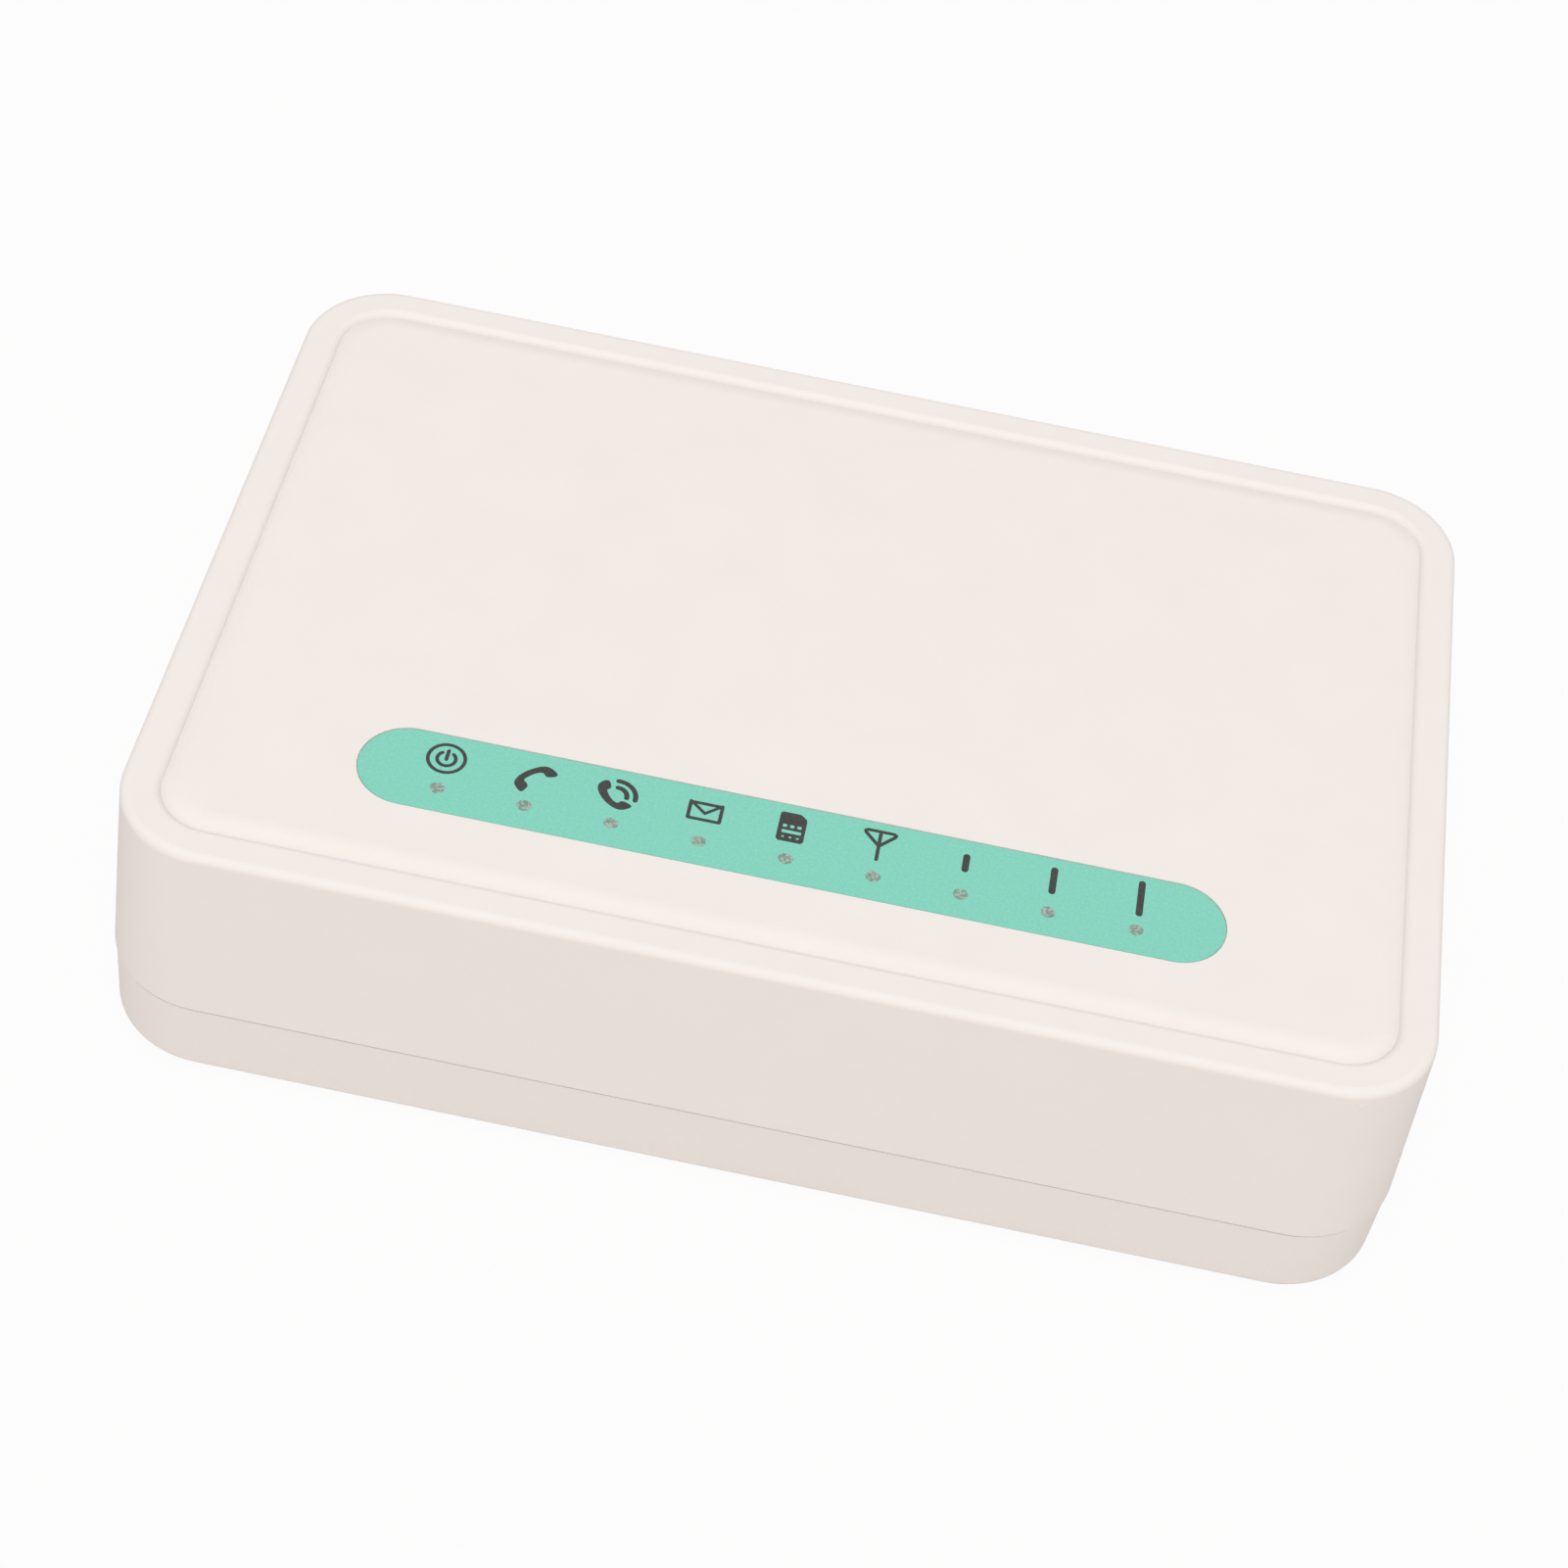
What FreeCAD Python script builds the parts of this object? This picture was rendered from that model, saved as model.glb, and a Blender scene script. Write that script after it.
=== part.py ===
import FreeCAD, Part
import math
import os

V = FreeCAD.Vector

# Desk-top cellular terminal for an ordinary telephone: a flat moulded box with a row of
# indicators along the front of its lid and its sockets in the rear wall.
# Millimetres, +Z up, -Y towards the user, origin under the middle of the whole object.

# Case, two moulded shells that meet at a seam
top_w = 149.0
top_d = 99.4
top_r = 11.0
top_back = 0.42
wall_draft = 1.3
upper_h = 25.0
lower_h = 10.5
wall = 2.2
roof = 2.4
floor = 2.2
top_edge_r = 1.05
bottom_edge_r = 0.6
lower_inset = 0.15
seam_gap = 0.36
lip_h = 1.9
lip_outer = 1.1
lip_fit = 0.12
fit = 0.12

# Crease round the lid and the pillowed edge of the panel inside it
crease_start = 3.6
crease_inset = 4.45
crease_depth = 0.79
crease_edge = 5.0
roll_w = 1.5
roll_h = 0.6
pillow_run = 2.7

# Indicator label and its row of windows
label_w = 99.7
label_d = 11.5
label_y = -29.95
label_t = 0.25
label_recess = 0.33
label_fit = 0.12
window_count = 9
window_pitch = 10.0
window_drop = 2.3
window_x = -0.25
window_r = 0.8

# Light guide, from the lamps on the board up to the windows
guide_tip_r = 0.7
guide_top_r = 1.1
guide_leg_w = 3.0
guide_leg_d = 2.4
guide_sink = 0.05
guide_bar_d = 3.4
guide_bar_h = 1.8
guide_bar_drop = 5.0
guide_wing = 7.0
stake_r = 1.0
stake_head_r = 1.8
stake_boss_r = 2.4
lamp_gap = 0.4

# Feet, screws and the posts that take them
foot_r = 5.0
foot_rise = 1.0
foot_pocket = 0.6
foot_x = 50.0
foot_y = 40.0
tower_in = 9.8
tower_r = 4.0
tower_h = 13.4
boss_r = 3.5
rib_t = 1.2
screw_r = 1.45
screw_len = 15.0
screw_head_r = 2.7
screw_head_h = 2.0
screw_seat = 3.5
screw_play = 0.2
standoff_r = 3.0
board_screw_r = 1.2
board_screw_len = 6.5
board_screw_head_r = 2.3
board_screw_head_h = 1.5
standoff_in = 4.0
standoff_rear = 32.5

# Main board
board_t = 1.6
board_rise = 9.8
board_clear = 1.0
board_front_gap = 6.8
board_rear_gap = 1.3
board_r = 2.0
lamp_w = 2.0
lamp_d = 1.25
lamp_h = 0.8

# Telephone line sockets, six-way with four contacts
jack_w = 13.2
jack_d = 16.5
jack_h = 12.2
jack_x = (6.0, 24.0)
jack_bay_w = 9.85
jack_bay_h = 6.9
jack_bay_d = 13.2
jack_bay_z = 3.6
jack_latch_w = 6.2
jack_latch_h = 1.2
jack_latch_slot = 3.3
jack_lip = 1.5
wire_r = 0.23
wire_pitch = 1.02
wire_count = 4
wire_dip = 2.1
wire_reach = 8.6
wire_start = 2.2

# Power inlet for a 5.5 / 2.1 plug
inlet_w = 9.0
inlet_d = 14.2
inlet_x = -32.0
inlet_axis = 6.3
inlet_nose_r = 4.5
inlet_bore_r = 3.15
inlet_bore_d = 10.4
inlet_pin_r = 1.0
inlet_pin_short = 0.9
inlet_leaf_w = 2.2
inlet_leaf_t = 0.3

# Power switch, a slide switch with two places
switch_x = -13.0
switch_w = 12.8
switch_d = 7.4
switch_h = 7.0
switch_skin = 0.5
switch_knob_w = 3.4
switch_knob_h = 3.0
switch_out = 1.9
switch_travel = 3.0
switch_base_h = 1.6

# Aerial socket, threaded barrel of 1/4-36 size with nut and washer
aerial_x = -50.0
aerial_axis = 5.0
aerial_r = 3.175
aerial_out = 9.2
aerial_bore_r = 2.3
aerial_bore_d = 1.95
aerial_core_r = 2.07
aerial_contact_r = 0.635
aerial_hole_r = 0.46
aerial_block_w = 7.4
aerial_block_d = 7.0
aerial_collar_r = 4.4
washer_r = 4.5
washer_t = 0.5
washer_teeth = 8
nut_flats = 8.0
nut_t = 2.3
spot_r = 4.9
spot_sink = 0.35
relief_w = 0.6
relief_r = 2.85

# Drawer for the subscriber card, with its metal cage on the board
drawer_x = 44.5
drawer_w = 17.0
drawer_len = 30.0
drawer_t = 2.0
drawer_rise = 1.4
drawer_face_w = 20.0
drawer_face_h = 4.2
drawer_face_t = 1.5
drawer_travel = 24.0
card_l = 25.2
card_w = 15.2
card_t = 0.9
card_cut = 3.0
card_window_l = 13.0
card_window_w = 11.0
card_window_in = 5.0
leaf_rows = 3
leaf_pitch = 2.54
leaf_apart = 7.0
leaf_w = 1.1
leaf_l = 4.4
leaf_t = 0.15
leaf_air = 0.06
cage_len = 25.0
cage_t = 0.3
cage_play = 0.3
cage_window_w = 9.0
cage_window_l = 11.0
contact_base_t = 0.6

# Battery bay with its sliding door in the underside
cell_w = 53.0
cell_d = 34.0
cell_t = 5.6
cell_rear_gap = 7.0
bay_play = 0.3
bay_wall = 1.2
bay_top_t = 1.0
door_t = 1.6
door_fit = 0.15
door_end_h = 6.0
door_lip = 1.5
door_lip_t = 0.8
door_travel = 8.0
ledge_w = 2.4
ledge_h = 1.3
hook_len = 5.0
hook_t = 1.2
hook_reach = 1.2
hook_clear = 0.35
hook_play = 0.15
hook_front = 2.8
hook_back = 1.3
grip_w = 18.0
grip_step = 2.0
grip_count = 5
grip_in = 6.0
link_w = 14.0
link_t = 2.6
blade_count = 3
blade_pitch = 4.0
blade_w = 1.6
blade_t = 0.25
blade_out = 0.6
blade_gap = 0.2

# Wall keyholes and air slots in the floor
key_x = 50.0
key_y = -4.0
key_head_r = 3.9
key_neck_w = 4.4
key_len = 8.0
slot_count = 7
slot_w = 1.8
slot_len = 15.0
slot_pitch = 3.6
slot_x = 22.0
slot_y = -22.0

# Parts on the board: width, depth and height; place across from the middle, then in from the rear edge
radio_size = (29.0, 29.0, 0.9)
radio_in = (-32.0, 41.5)
edge_pads = 9
can_inset = 0.8
can_h = 1.7
can_skin = 0.3
chip_size = (12.0, 12.0, 1.4)
chip_in = (-4.0, 43.5)
chip_legs = 8
leg_pitch = 1.1
line_chip_size = (9.0, 9.0, 1.1)
line_chip_in = (14.0, 31.5)
coil_size = (13.0, 11.0, 10.0)
coil_in = (32.0, 33.5)
coil_wall = 2.6
choke_size = (8.0, 8.0, 4.0)
choke_in = (-30.0, 20.5)
can_cap_r = 4.0
can_cap_h = 11.0
can_cap_in = ((-44.0, 18.5), (-20.0, 20.5), (50.0, 41.5), (50.0, 55.5))
small_chip_in = ((14.0, 51.5), (28.0, 53.5), (-4.0, 61.5), (14.0, 63.5))
small_chip_size = (5.0, 4.0, 1.5)

# Levels and faces that follow from the sizes above
z_case = foot_rise
z_seam = z_case + lower_h
z_top = z_seam + upper_h
z_roof = z_top - roof
z_floor = z_case + floor
z_tower = z_case + tower_h
z_under = z_case + board_rise
z_board = z_under + board_t
z_label = z_top - label_recess + label_t
seam_w = top_w + 2 * wall_draft
seam_d = top_d + 2 * wall_draft
seam_r = top_r + wall_draft
lower_w = seam_w - 2 * lower_inset
lower_d = seam_d - 2 * lower_inset
lower_r = seam_r - lower_inset
tower_x = seam_w / 2 - tower_in
tower_y = seam_d / 2 - tower_in
board_x = tower_x - tower_r - board_clear
board_front = -(seam_d / 2 - wall - board_front_gap)
board_rear = seam_d / 2 - wall - board_rear_gap
rear_in = seam_d / 2 - wall
cell_y = seam_d / 2 - cell_rear_gap - cell_d / 2
link_face = cell_w / 2 + blade_out + blade_gap
door_half = link_face + link_t + hook_clear + hook_t + hook_play + ledge_w
ledge_half = door_half - ledge_w
window_y = label_y - window_drop
window_xs = [window_x + (i - (window_count - 1) / 2) * window_pitch for i in range(window_count)]
thread_end = seam_d / 2 + aerial_out
shift_y = -(thread_end - seam_d / 2) / 2
corners = [(sx, sy) for sx in (-1, 1) for sy in (-1, 1)]


# Shapes

def block(x, y, z):
    """Box given by its low and high side along each axis."""
    return Part.makeBox(x[1] - x[0], y[1] - y[0], z[1] - z[0], V(x[0], y[0], z[0]))


def slab(w, d, h, x, y, z):
    """Box centred on x and y that stands on height z."""
    return Part.makeBox(w, d, h, V(x - w / 2, y - d / 2, z))


def post(r, z0, z1, x=0.0, y=0.0):
    """Upright cylinder."""
    return Part.makeCylinder(r, z1 - z0, V(x, y, z0))


def rod(r, y0, y1, x, z):
    """Cylinder along Y."""
    return Part.makeCylinder(r, y1 - y0, V(x, y0, z), V(0, 1, 0))


def outline(w, d, r, z, x=0.0, y=0.0):
    """Rounded rectangle at height z; with r at half of d it is a stadium."""
    arcs = []
    for k, (sx, sy) in enumerate(((1, 1), (-1, 1), (-1, -1), (1, -1))):
        centre = V(x + sx * (w / 2 - r), y + sy * (d / 2 - r), z)
        circle = Part.Circle(centre, V(0, 0, 1), r)
        arcs.append(Part.ArcOfCircle(circle, k * math.pi / 2, (k + 1) * math.pi / 2).toShape())
    edges = []
    for arc, following in zip(arcs, arcs[1:] + arcs[:1]):
        start, end = arc.lastVertex().Point, following.firstVertex().Point
        edges.append(arc)
        if start.distanceToPoint(end) > 0.001:
            edges.append(Part.makeLine(start, end))
    return Part.Wire(edges)


def prism(w, d, r, z0, z1, x=0.0, y=0.0):
    """Rounded rectangle raised from z0 to z1."""
    return Part.Face(outline(w, d, r, z0, x, y)).extrude(V(0, 0, z1 - z0))


def plate(points, t, along):
    """Flat polygon given a thickness along a direction."""
    return Part.Face(Part.makePolygon(points + points[:1])).extrude(along * t)


def joined(first, *others):
    return first.fuse([s for s in others]).removeSplitter()


def less(body, *tools):
    return body.cut([s for s in tools]).removeSplitter()


def group(shapes):
    return Part.makeCompound(list(shapes))


def spread(z):
    """How far the upper shell's wall stands outside the lid's outline at height z."""
    return wall_draft * (z_top - z) / upper_h


def set_back(z):
    """How far the upper shell's outline at height z stands behind the seam's outline."""
    return top_back * (z - z_seam) / upper_h


def upper_outline(z, inset):
    """The upper shell's outline at height z, a distance inside its outer face."""
    grow = spread(z) - inset
    return outline(top_w + 2 * grow, top_d + 2 * grow, top_r + grow, z, 0.0, set_back(z))


def upper_body(z0, z1, inset):
    """Tapered body between two heights that follows the upper shell's wall."""
    return Part.makeLoft([upper_outline(z0, inset), upper_outline(z1, inset)], True, True)


def seam_prism(inset, z0, z1):
    """Upright body that follows the seam's outline a distance inside it."""
    return prism(seam_w - 2 * inset, seam_d - 2 * inset, seam_r - inset, z0, z1)


def rear_face(z):
    """Outer face of the rear wall of the upper shell at height z."""
    return top_d / 2 + spread(z) + set_back(z)


def carried_round(profile):
    """Carry a profile round the lid; profile(side) draws it in the XZ plane at Y = 0."""
    pieces = []
    for k in range(4):
        side, run = (top_w / 2, top_d / 2 - top_r) if k % 2 == 0 else (top_d / 2, top_w / 2 - top_r)
        face = profile(side)
        straight = face.translated(V(0, -run, 0)).extrude(V(0, 2 * run, 0))
        corner = face.translated(V(0, run, 0)).revolve(V(side - top_r, run, 0), V(0, 0, 1), 90)
        for piece in (straight, corner):
            piece.rotate(V(0, 0, 0), V(0, 0, 1), 90 * k)
            pieces.append(piece.translated(V(0, top_back, 0)))
    return joined(*pieces)


# Openings in the rear wall: middle, width, low and high side

def rear_ports():
    ports = [(x, jack_w, z_board, z_board + jack_h) for x in jack_x]
    ports.append((inlet_x, inlet_w, z_board, z_board + inlet_axis + inlet_nose_r))
    ports.append((switch_x, switch_knob_w + 2 * switch_travel, *switch_slot_z()))
    ports.append((aerial_x, 2 * aerial_r, z_board, z_board + aerial_axis))
    ports.append((drawer_x, drawer_w, *drawer_slot_z()))
    return ports


def switch_slot_z():
    middle = z_board + switch_base_h + (switch_h - switch_base_h) / 2
    return middle - switch_knob_h / 2 - fit, middle + switch_knob_h / 2 + fit


def drawer_slot_z():
    return z_board + drawer_rise - fit, z_board + drawer_rise + drawer_t + fit


# Upper shell

def crease_profile(side):
    """Rounded outer side of the crease, run on above the lid so that it cuts clean."""
    over = 0.3
    rim, foot = V(side - crease_start, 0, z_top), V(side - crease_inset, 0, z_top - crease_depth)
    chord = rim.distanceToPoint(foot)
    first = math.radians(crease_edge)
    last = 2 * math.asin(crease_depth / chord) - first
    radius = chord / 2 / math.sin((last - first) / 2)

    def on_arc(slope):
        return rim + V(math.sin(first) - math.sin(slope), 0, math.cos(slope) - math.cos(first)) * radius

    start = on_arc(first / 2)
    points = [foot, V(foot.x, 0, z_top + over), V(start.x, 0, z_top + over), start]
    sides = [Part.makeLine(a, b) for a, b in zip(points, points[1:])]
    roll = Part.Arc(start, on_arc((first + last) / 2), foot).toShape()
    return Part.Face(Part.Wire([*sides, roll]))


def pillow_profile(side):
    """Edge of the inner panel: a tight roll out of the crease, then a long easy arc to the lid's level."""
    low = V(side - crease_inset, 0, z_top - crease_depth)
    crown = V(low.x - pillow_run, 0, z_top)
    knee = V(low.x - roll_w, 0, low.z + roll_h)
    easy_w, easy_h = pillow_run - roll_w, crease_depth - roll_h
    easy_r = (easy_w ** 2 + easy_h ** 2) / (2 * easy_h)
    knee_turn = math.asin(easy_w / easy_r)
    middle = V(crown.x + easy_r * math.sin(knee_turn / 2), 0,
               z_top - easy_r * (1 - math.cos(knee_turn / 2)))
    chord = math.hypot(roll_w, roll_h)
    bend = math.atan2(roll_h, roll_w) - knee_turn
    bulge = chord / 2 * math.tan(bend / 2)
    roll_middle = V((low.x + knee.x) / 2 + bulge * roll_h / chord, 0,
                    (low.z + knee.z) / 2 + bulge * roll_w / chord)
    foot = V(crown.x, 0, low.z)
    edges = [
        Part.Arc(low, roll_middle, knee).toShape(),
        Part.Arc(knee, middle, crown).toShape(),
        Part.makeLine(crown, foot),
        Part.makeLine(foot, low),
    ]
    return Part.Face(Part.Wire(edges))


def lid_relief(shell):
    """Sink the panel inside the crease and raise it again with a pillowed edge."""
    def area(inset, z1):
        return prism(top_w - 2 * inset, top_d - 2 * inset, top_r - inset,
                     z_top - crease_depth, z1, 0.0, top_back)

    sunk = area(crease_inset, z_top + 1.0)
    panel = area(crease_inset + pillow_run, z_top)
    shell = less(shell, sunk, carried_round(crease_profile))
    return joined(shell, panel, carried_round(pillow_profile))


def boss(sx, sy):
    """Screw boss that hangs from the lid, tied to both walls by ribs."""
    x, y = sx * tower_x, sy * tower_y
    reach_x = sx * (top_w / 2 + spread(z_tower) - wall + 0.4)
    reach_y = sy * (top_d / 2 + spread(z_tower) - wall + 0.4)
    height = z_roof + 0.5 - z_tower
    rib_x = slab(abs(reach_x - x), rib_t, height, (x + reach_x) / 2, y, z_tower)
    rib_y = slab(rib_t, abs(reach_y - y), height, x, (y + reach_y) / 2, z_tower)
    return joined(post(boss_r, z_tower, z_roof + 0.5, x, y), rib_x, rib_y)


def boss_hole(sx, sy):
    depth = z_case + screw_seat + screw_len + 1.0
    return post(screw_r + 0.02, z_tower - 1.0, depth, sx * tower_x, sy * tower_y)


def stake_xs():
    """Where the light guide's wings hang from the lid."""
    return window_xs[0] - guide_wing, window_xs[-1] + guide_wing


def guide_bar_z():
    """Low and high side of the bar that joins the light guide's posts."""
    return z_roof - guide_bar_drop - guide_bar_h, z_roof - guide_bar_drop


def stake(x):
    """Pin under the lid, with a shoulder above the light guide's wing and a formed head below."""
    low, high = guide_bar_z()
    shoulder = post(stake_boss_r, high, z_roof + 0.5, x, window_y)
    pin = post(stake_r, low - fit, high + 0.5, x, window_y)
    head = Part.makeCone(stake_head_r * 0.6, stake_head_r, 0.8, V(x, window_y, low - fit - 0.8))
    return joined(shoulder, pin, head)


def port_notch(x, w, low, high):
    """Notch in the upper shell's rear wall, open down to the seam."""
    return block((x - w / 2 - fit, x + w / 2 + fit), (rear_in - wall_draft - 2.0, seam_d / 2 + 1.0),
                 (z_seam - 1.0, high + fit))


def top_cover():
    shell = upper_body(z_seam, z_top, 0.0)
    rim = [e for e in shell.Edges if e.BoundBox.ZMin > z_top - 0.01]
    shell = lid_relief(shell.makeFillet(top_edge_r, rim))
    hollow = upper_body(z_seam - 1.0, z_roof, wall)
    rebate = seam_prism(lip_outer, z_seam - 1.0, z_seam + lip_h + fit)
    shell = less(shell, hollow, rebate)
    bosses = [boss(sx, sy) for sx, sy in corners]
    shell = joined(shell, *bosses, *[stake(x) for x in stake_xs()])
    cuts = [boss_hole(sx, sy) for sx, sy in corners]
    cuts += [port_notch(*port) for port in rear_ports()]
    cuts.append(rod(aerial_r + fit, rear_in - 4.0, seam_d / 2 + 1.0, aerial_x, z_board + aerial_axis))
    cuts.append(rod(spot_r, aerial_seat(), seam_d / 2 + 1.0, aerial_x, z_board + aerial_axis))
    grow = 2 * label_fit
    cuts.append(prism(label_w + grow, label_d + grow, (label_d + grow) / 2,
                      z_top - label_recess, z_top + 1.0, 0.0, label_y))
    cuts += [post(window_r, z_roof - 1.0, z_top, x, window_y) for x in window_xs]
    return less(shell, *cuts)


# Lower shell

def lower_body():
    """Outer form of the lower shell, with its small bottom radius."""
    body = prism(lower_w, lower_d, lower_r, z_case, z_seam - seam_gap)
    rim = [e for e in body.Edges if e.BoundBox.ZMax < z_case + 0.01]
    return body.makeFillet(bottom_edge_r, rim)


def tongue():
    """Lip that stands up inside the upper shell, cut away where the sockets pass."""
    low = z_seam - seam_gap - 0.5
    high = z_seam + lip_h
    lip = less(seam_prism(lip_outer + lip_fit, low, high), seam_prism(wall, low - 1.0, high + 1.0))
    gaps = []
    for x, w, _, _ in rear_ports():
        sides = (x - w / 2 - 0.6, x + w / 2 + 0.6)
        gaps.append(block(sides, (rear_in - 1.0, seam_d / 2), (low - 1.0, high + 1.0)))
    return less(lip, *gaps)


def sill(x, w, low, high):
    """Piece of the lower shell's rear wall that closes a notch from below."""
    top = min(low - fit, z_board - fit)
    return block((x - w / 2, x + w / 2), (rear_in, lower_d / 2 - 0.15), (z_seam - seam_gap - 1.0, top))


def tower(sx, sy):
    return post(tower_r, z_floor - 0.5, z_tower, sx * tower_x, sy * tower_y)


def tower_holes(sx, sy):
    x, y = sx * tower_x, sy * tower_y
    shank = post(screw_r + screw_play, z_case - 1.0, z_tower + 1.0, x, y)
    return joined(shank, post(screw_head_r + screw_play, z_case - 1.0, z_case + screw_seat, x, y))


def standoff_places():
    x = board_x - standoff_in
    return [(s * x, y) for s in (-1, 1) for y in (board_front + standoff_in, board_rear - standoff_rear)]


def standoff(x, y):
    return post(standoff_r, z_floor - 0.5, z_under, x, y)


def standoff_hole(x, y):
    return post(board_screw_r + 0.02, z_board - board_screw_len - 0.8, z_under + 1.0, x, y)


def door_front():
    """Front edge of the battery door's panel."""
    return cell_y - cell_d / 2 - bay_play - 2.5


def bay_sides():
    """Inner sides of the battery bay above the ledges: half width, front and rear."""
    return ledge_half + hook_reach + 2.0, cell_y - cell_d / 2 - bay_play, cell_y + cell_d / 2 + bay_play


def z_cell():
    return z_case + door_t + 0.1


def z_bay():
    """Ceiling of the battery bay."""
    return z_cell() + cell_t + 0.2


def battery_bay():
    """Walls and ceiling that stand over the battery."""
    half, front, rear = bay_sides()
    return block((-half - bay_wall, half + bay_wall), (front - bay_wall, rear + bay_wall),
                 (z_floor - 0.5, z_bay() + bay_top_t))


def bay_hollow():
    """Space of the bay above the ledges, and the narrower way out between them."""
    half, front, rear = bay_sides()
    z_ledge = z_case + door_t + ledge_h
    space = block((-half, half), (front, rear), (z_ledge, z_bay()))
    way_out = block((-ledge_half, ledge_half), (front, rear), (z_case - 1.0, z_ledge + 0.5))
    return joined(space, way_out)


def hook_notches():
    """Gaps in the ledges where the door's hooks drop out once it has slid back."""
    z_ledge = z_case + door_t + ledge_h
    notches = []
    for y in hook_ys():
        low = y + door_travel - 0.3
        notches.append(block((-door_half - 0.1, door_half + 0.1), (low, low + hook_len + 0.6),
                             (z_case, z_ledge + 0.1)))
    return notches


def door_recess():
    """Seat for the door's panel, its front lip and its turned-up rear end."""
    half = door_half + door_fit
    behind = seam_d / 2 + 1.0
    panel = block((-half, half), (door_front() - door_fit, behind), (z_case - 1.0, z_case + door_t + 0.05))
    lip_z = z_case + door_t - door_lip_t
    groove = block((-half, half), (door_front() - door_lip - 2 * door_fit, door_front()),
                   (lip_z - door_fit, z_case + door_t + 0.05))
    wall_in = lower_d / 2 - wall - door_fit
    end = block((-half, half), (wall_in, behind), (z_case - 1.0, z_case + door_end_h + door_fit))
    return joined(panel, groove, end)


def link_slot():
    """Slot in the bay's ceiling where the battery connector hangs from the board."""
    x0, x1 = link_xs()
    return block((x0 - 0.2, x1 + 0.2), (cell_y - link_w / 2 - 0.2, cell_y + link_w / 2 + 0.2),
                 (z_bay() - 1.0, z_bay() + bay_top_t + 1.0))


def link_xs():
    """Sides of the battery connector, which faces the battery's end."""
    return -link_face - link_t, -link_face


def hook_ys():
    """Where the door's front and rear hooks start; the rear ones clear the bay's wall when it is open."""
    _, front, rear = bay_sides()
    return front + hook_front, rear - door_travel - hook_len - hook_back


def stop_ribs():
    """Ribs from the bay's ceiling that hold the battery against the connector."""
    z_low = z_cell() + 1.2
    x0 = cell_w / 2 + bay_play
    return [block((x0, x0 + 2.0), (y - 0.6, y + 0.6), (z_low, z_bay() + 0.5))
            for y in (cell_y - cell_d / 4, cell_y + cell_d / 4)]


def keyhole(x):
    """Round hole for a screw's head and a narrower neck that runs towards the front."""
    head = post(key_head_r, z_case - 1.0, z_floor + 1.0, x, key_y)
    neck = slab(key_neck_w, key_len, floor + 2.0, x, key_y - key_len / 2, z_case - 1.0)
    end = post(key_neck_w / 2, z_case - 1.0, z_floor + 1.0, x, key_y - key_len)
    return joined(head, neck, end)


def air_slots():
    """Two banks of slots in the floor, under the warm parts of the board."""
    slots = []
    for side in (-1, 1):
        for i in range(slot_count):
            x = side * slot_x + (i - (slot_count - 1) / 2) * slot_pitch
            slots.append(slab(slot_w, slot_len, floor + 2.0, x, slot_y, z_case - 1.0))
    return slots


def foot_places():
    return [(sx * foot_x, sy * foot_y) for sx, sy in corners]


def bottom_case():
    shell = less(lower_body(), seam_prism(wall, z_floor, z_seam + 1.0))
    shell = joined(shell, tongue(), *[sill(*port) for port in rear_ports()])
    shell = joined(shell, *[tower(sx, sy) for sx, sy in corners])
    shell = joined(shell, *[standoff(x, y) for x, y in standoff_places()])
    shell = joined(shell, battery_bay())
    cuts = [tower_holes(sx, sy) for sx, sy in corners]
    cuts += [standoff_hole(x, y) for x, y in standoff_places()]
    cuts += [bay_hollow(), door_recess(), link_slot(), *hook_notches()]
    cuts += [keyhole(-key_x), keyhole(key_x)]
    cuts += air_slots()
    cuts += [post(foot_r + fit, z_case - 1.0, z_case + foot_pocket, x, y) for x, y in foot_places()]
    return joined(less(shell, *cuts), *stop_ribs())


def rubber_foot(x, y):
    foot = post(foot_r, 0.0, z_case + foot_pocket, x, y)
    rim = [e for e in foot.Edges if e.BoundBox.ZMax < 0.01]
    return foot.makeChamfer(0.5, rim)


def screw(x, y, seat, r, length, head_r, head_h, up):
    """Pan-head screw; its shank leaves the seat upwards or downwards."""
    direction = 1.0 if up else -1.0
    shank = Part.makeCylinder(r, length, V(x, y, seat), V(0, 0, direction))
    head = Part.makeCylinder(head_r, head_h, V(x, y, seat), V(0, 0, -direction))
    far = seat - direction * head_h
    rim = [e for e in head.Edges if abs(e.BoundBox.ZMax - far) < 0.01 and abs(e.BoundBox.ZMin - far) < 0.01]
    head = head.makeChamfer(head_h * 0.3, rim)
    low = min(far, far + direction * head_h * 0.55)
    high = max(far, far + direction * head_h * 0.55)
    turn = head_r * 0.28
    cross = joined(slab(head_r * 1.2, turn, high - low, x, y, low),
                   slab(turn, head_r * 1.2, high - low, x, y, low))
    return less(joined(shank, head), cross)


def case_screws():
    seat = z_case + screw_seat
    sizes = (screw_r, screw_len, screw_head_r, screw_head_h)
    return group([screw(sx * tower_x, sy * tower_y, seat, *sizes, True) for sx, sy in corners])


def board_screws():
    sizes = (board_screw_r, board_screw_len, board_screw_head_r, board_screw_head_h)
    return group([screw(x, y, z_board, *sizes, False) for x, y in standoff_places()])


# Battery, its door and its connector

def battery_pack():
    body = slab(cell_w, cell_d, cell_t, 0.0, cell_y, z_cell())
    upright = [e for e in body.Edges if abs(e.BoundBox.ZLength - cell_t) < 0.01]
    body = body.makeFillet(1.6, upright)
    pads = [slab(0.4, blade_w + 0.8, 2.6, -cell_w / 2, y, z_cell() + 1.5) for y in blade_ys()]
    return less(body, *pads)


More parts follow.
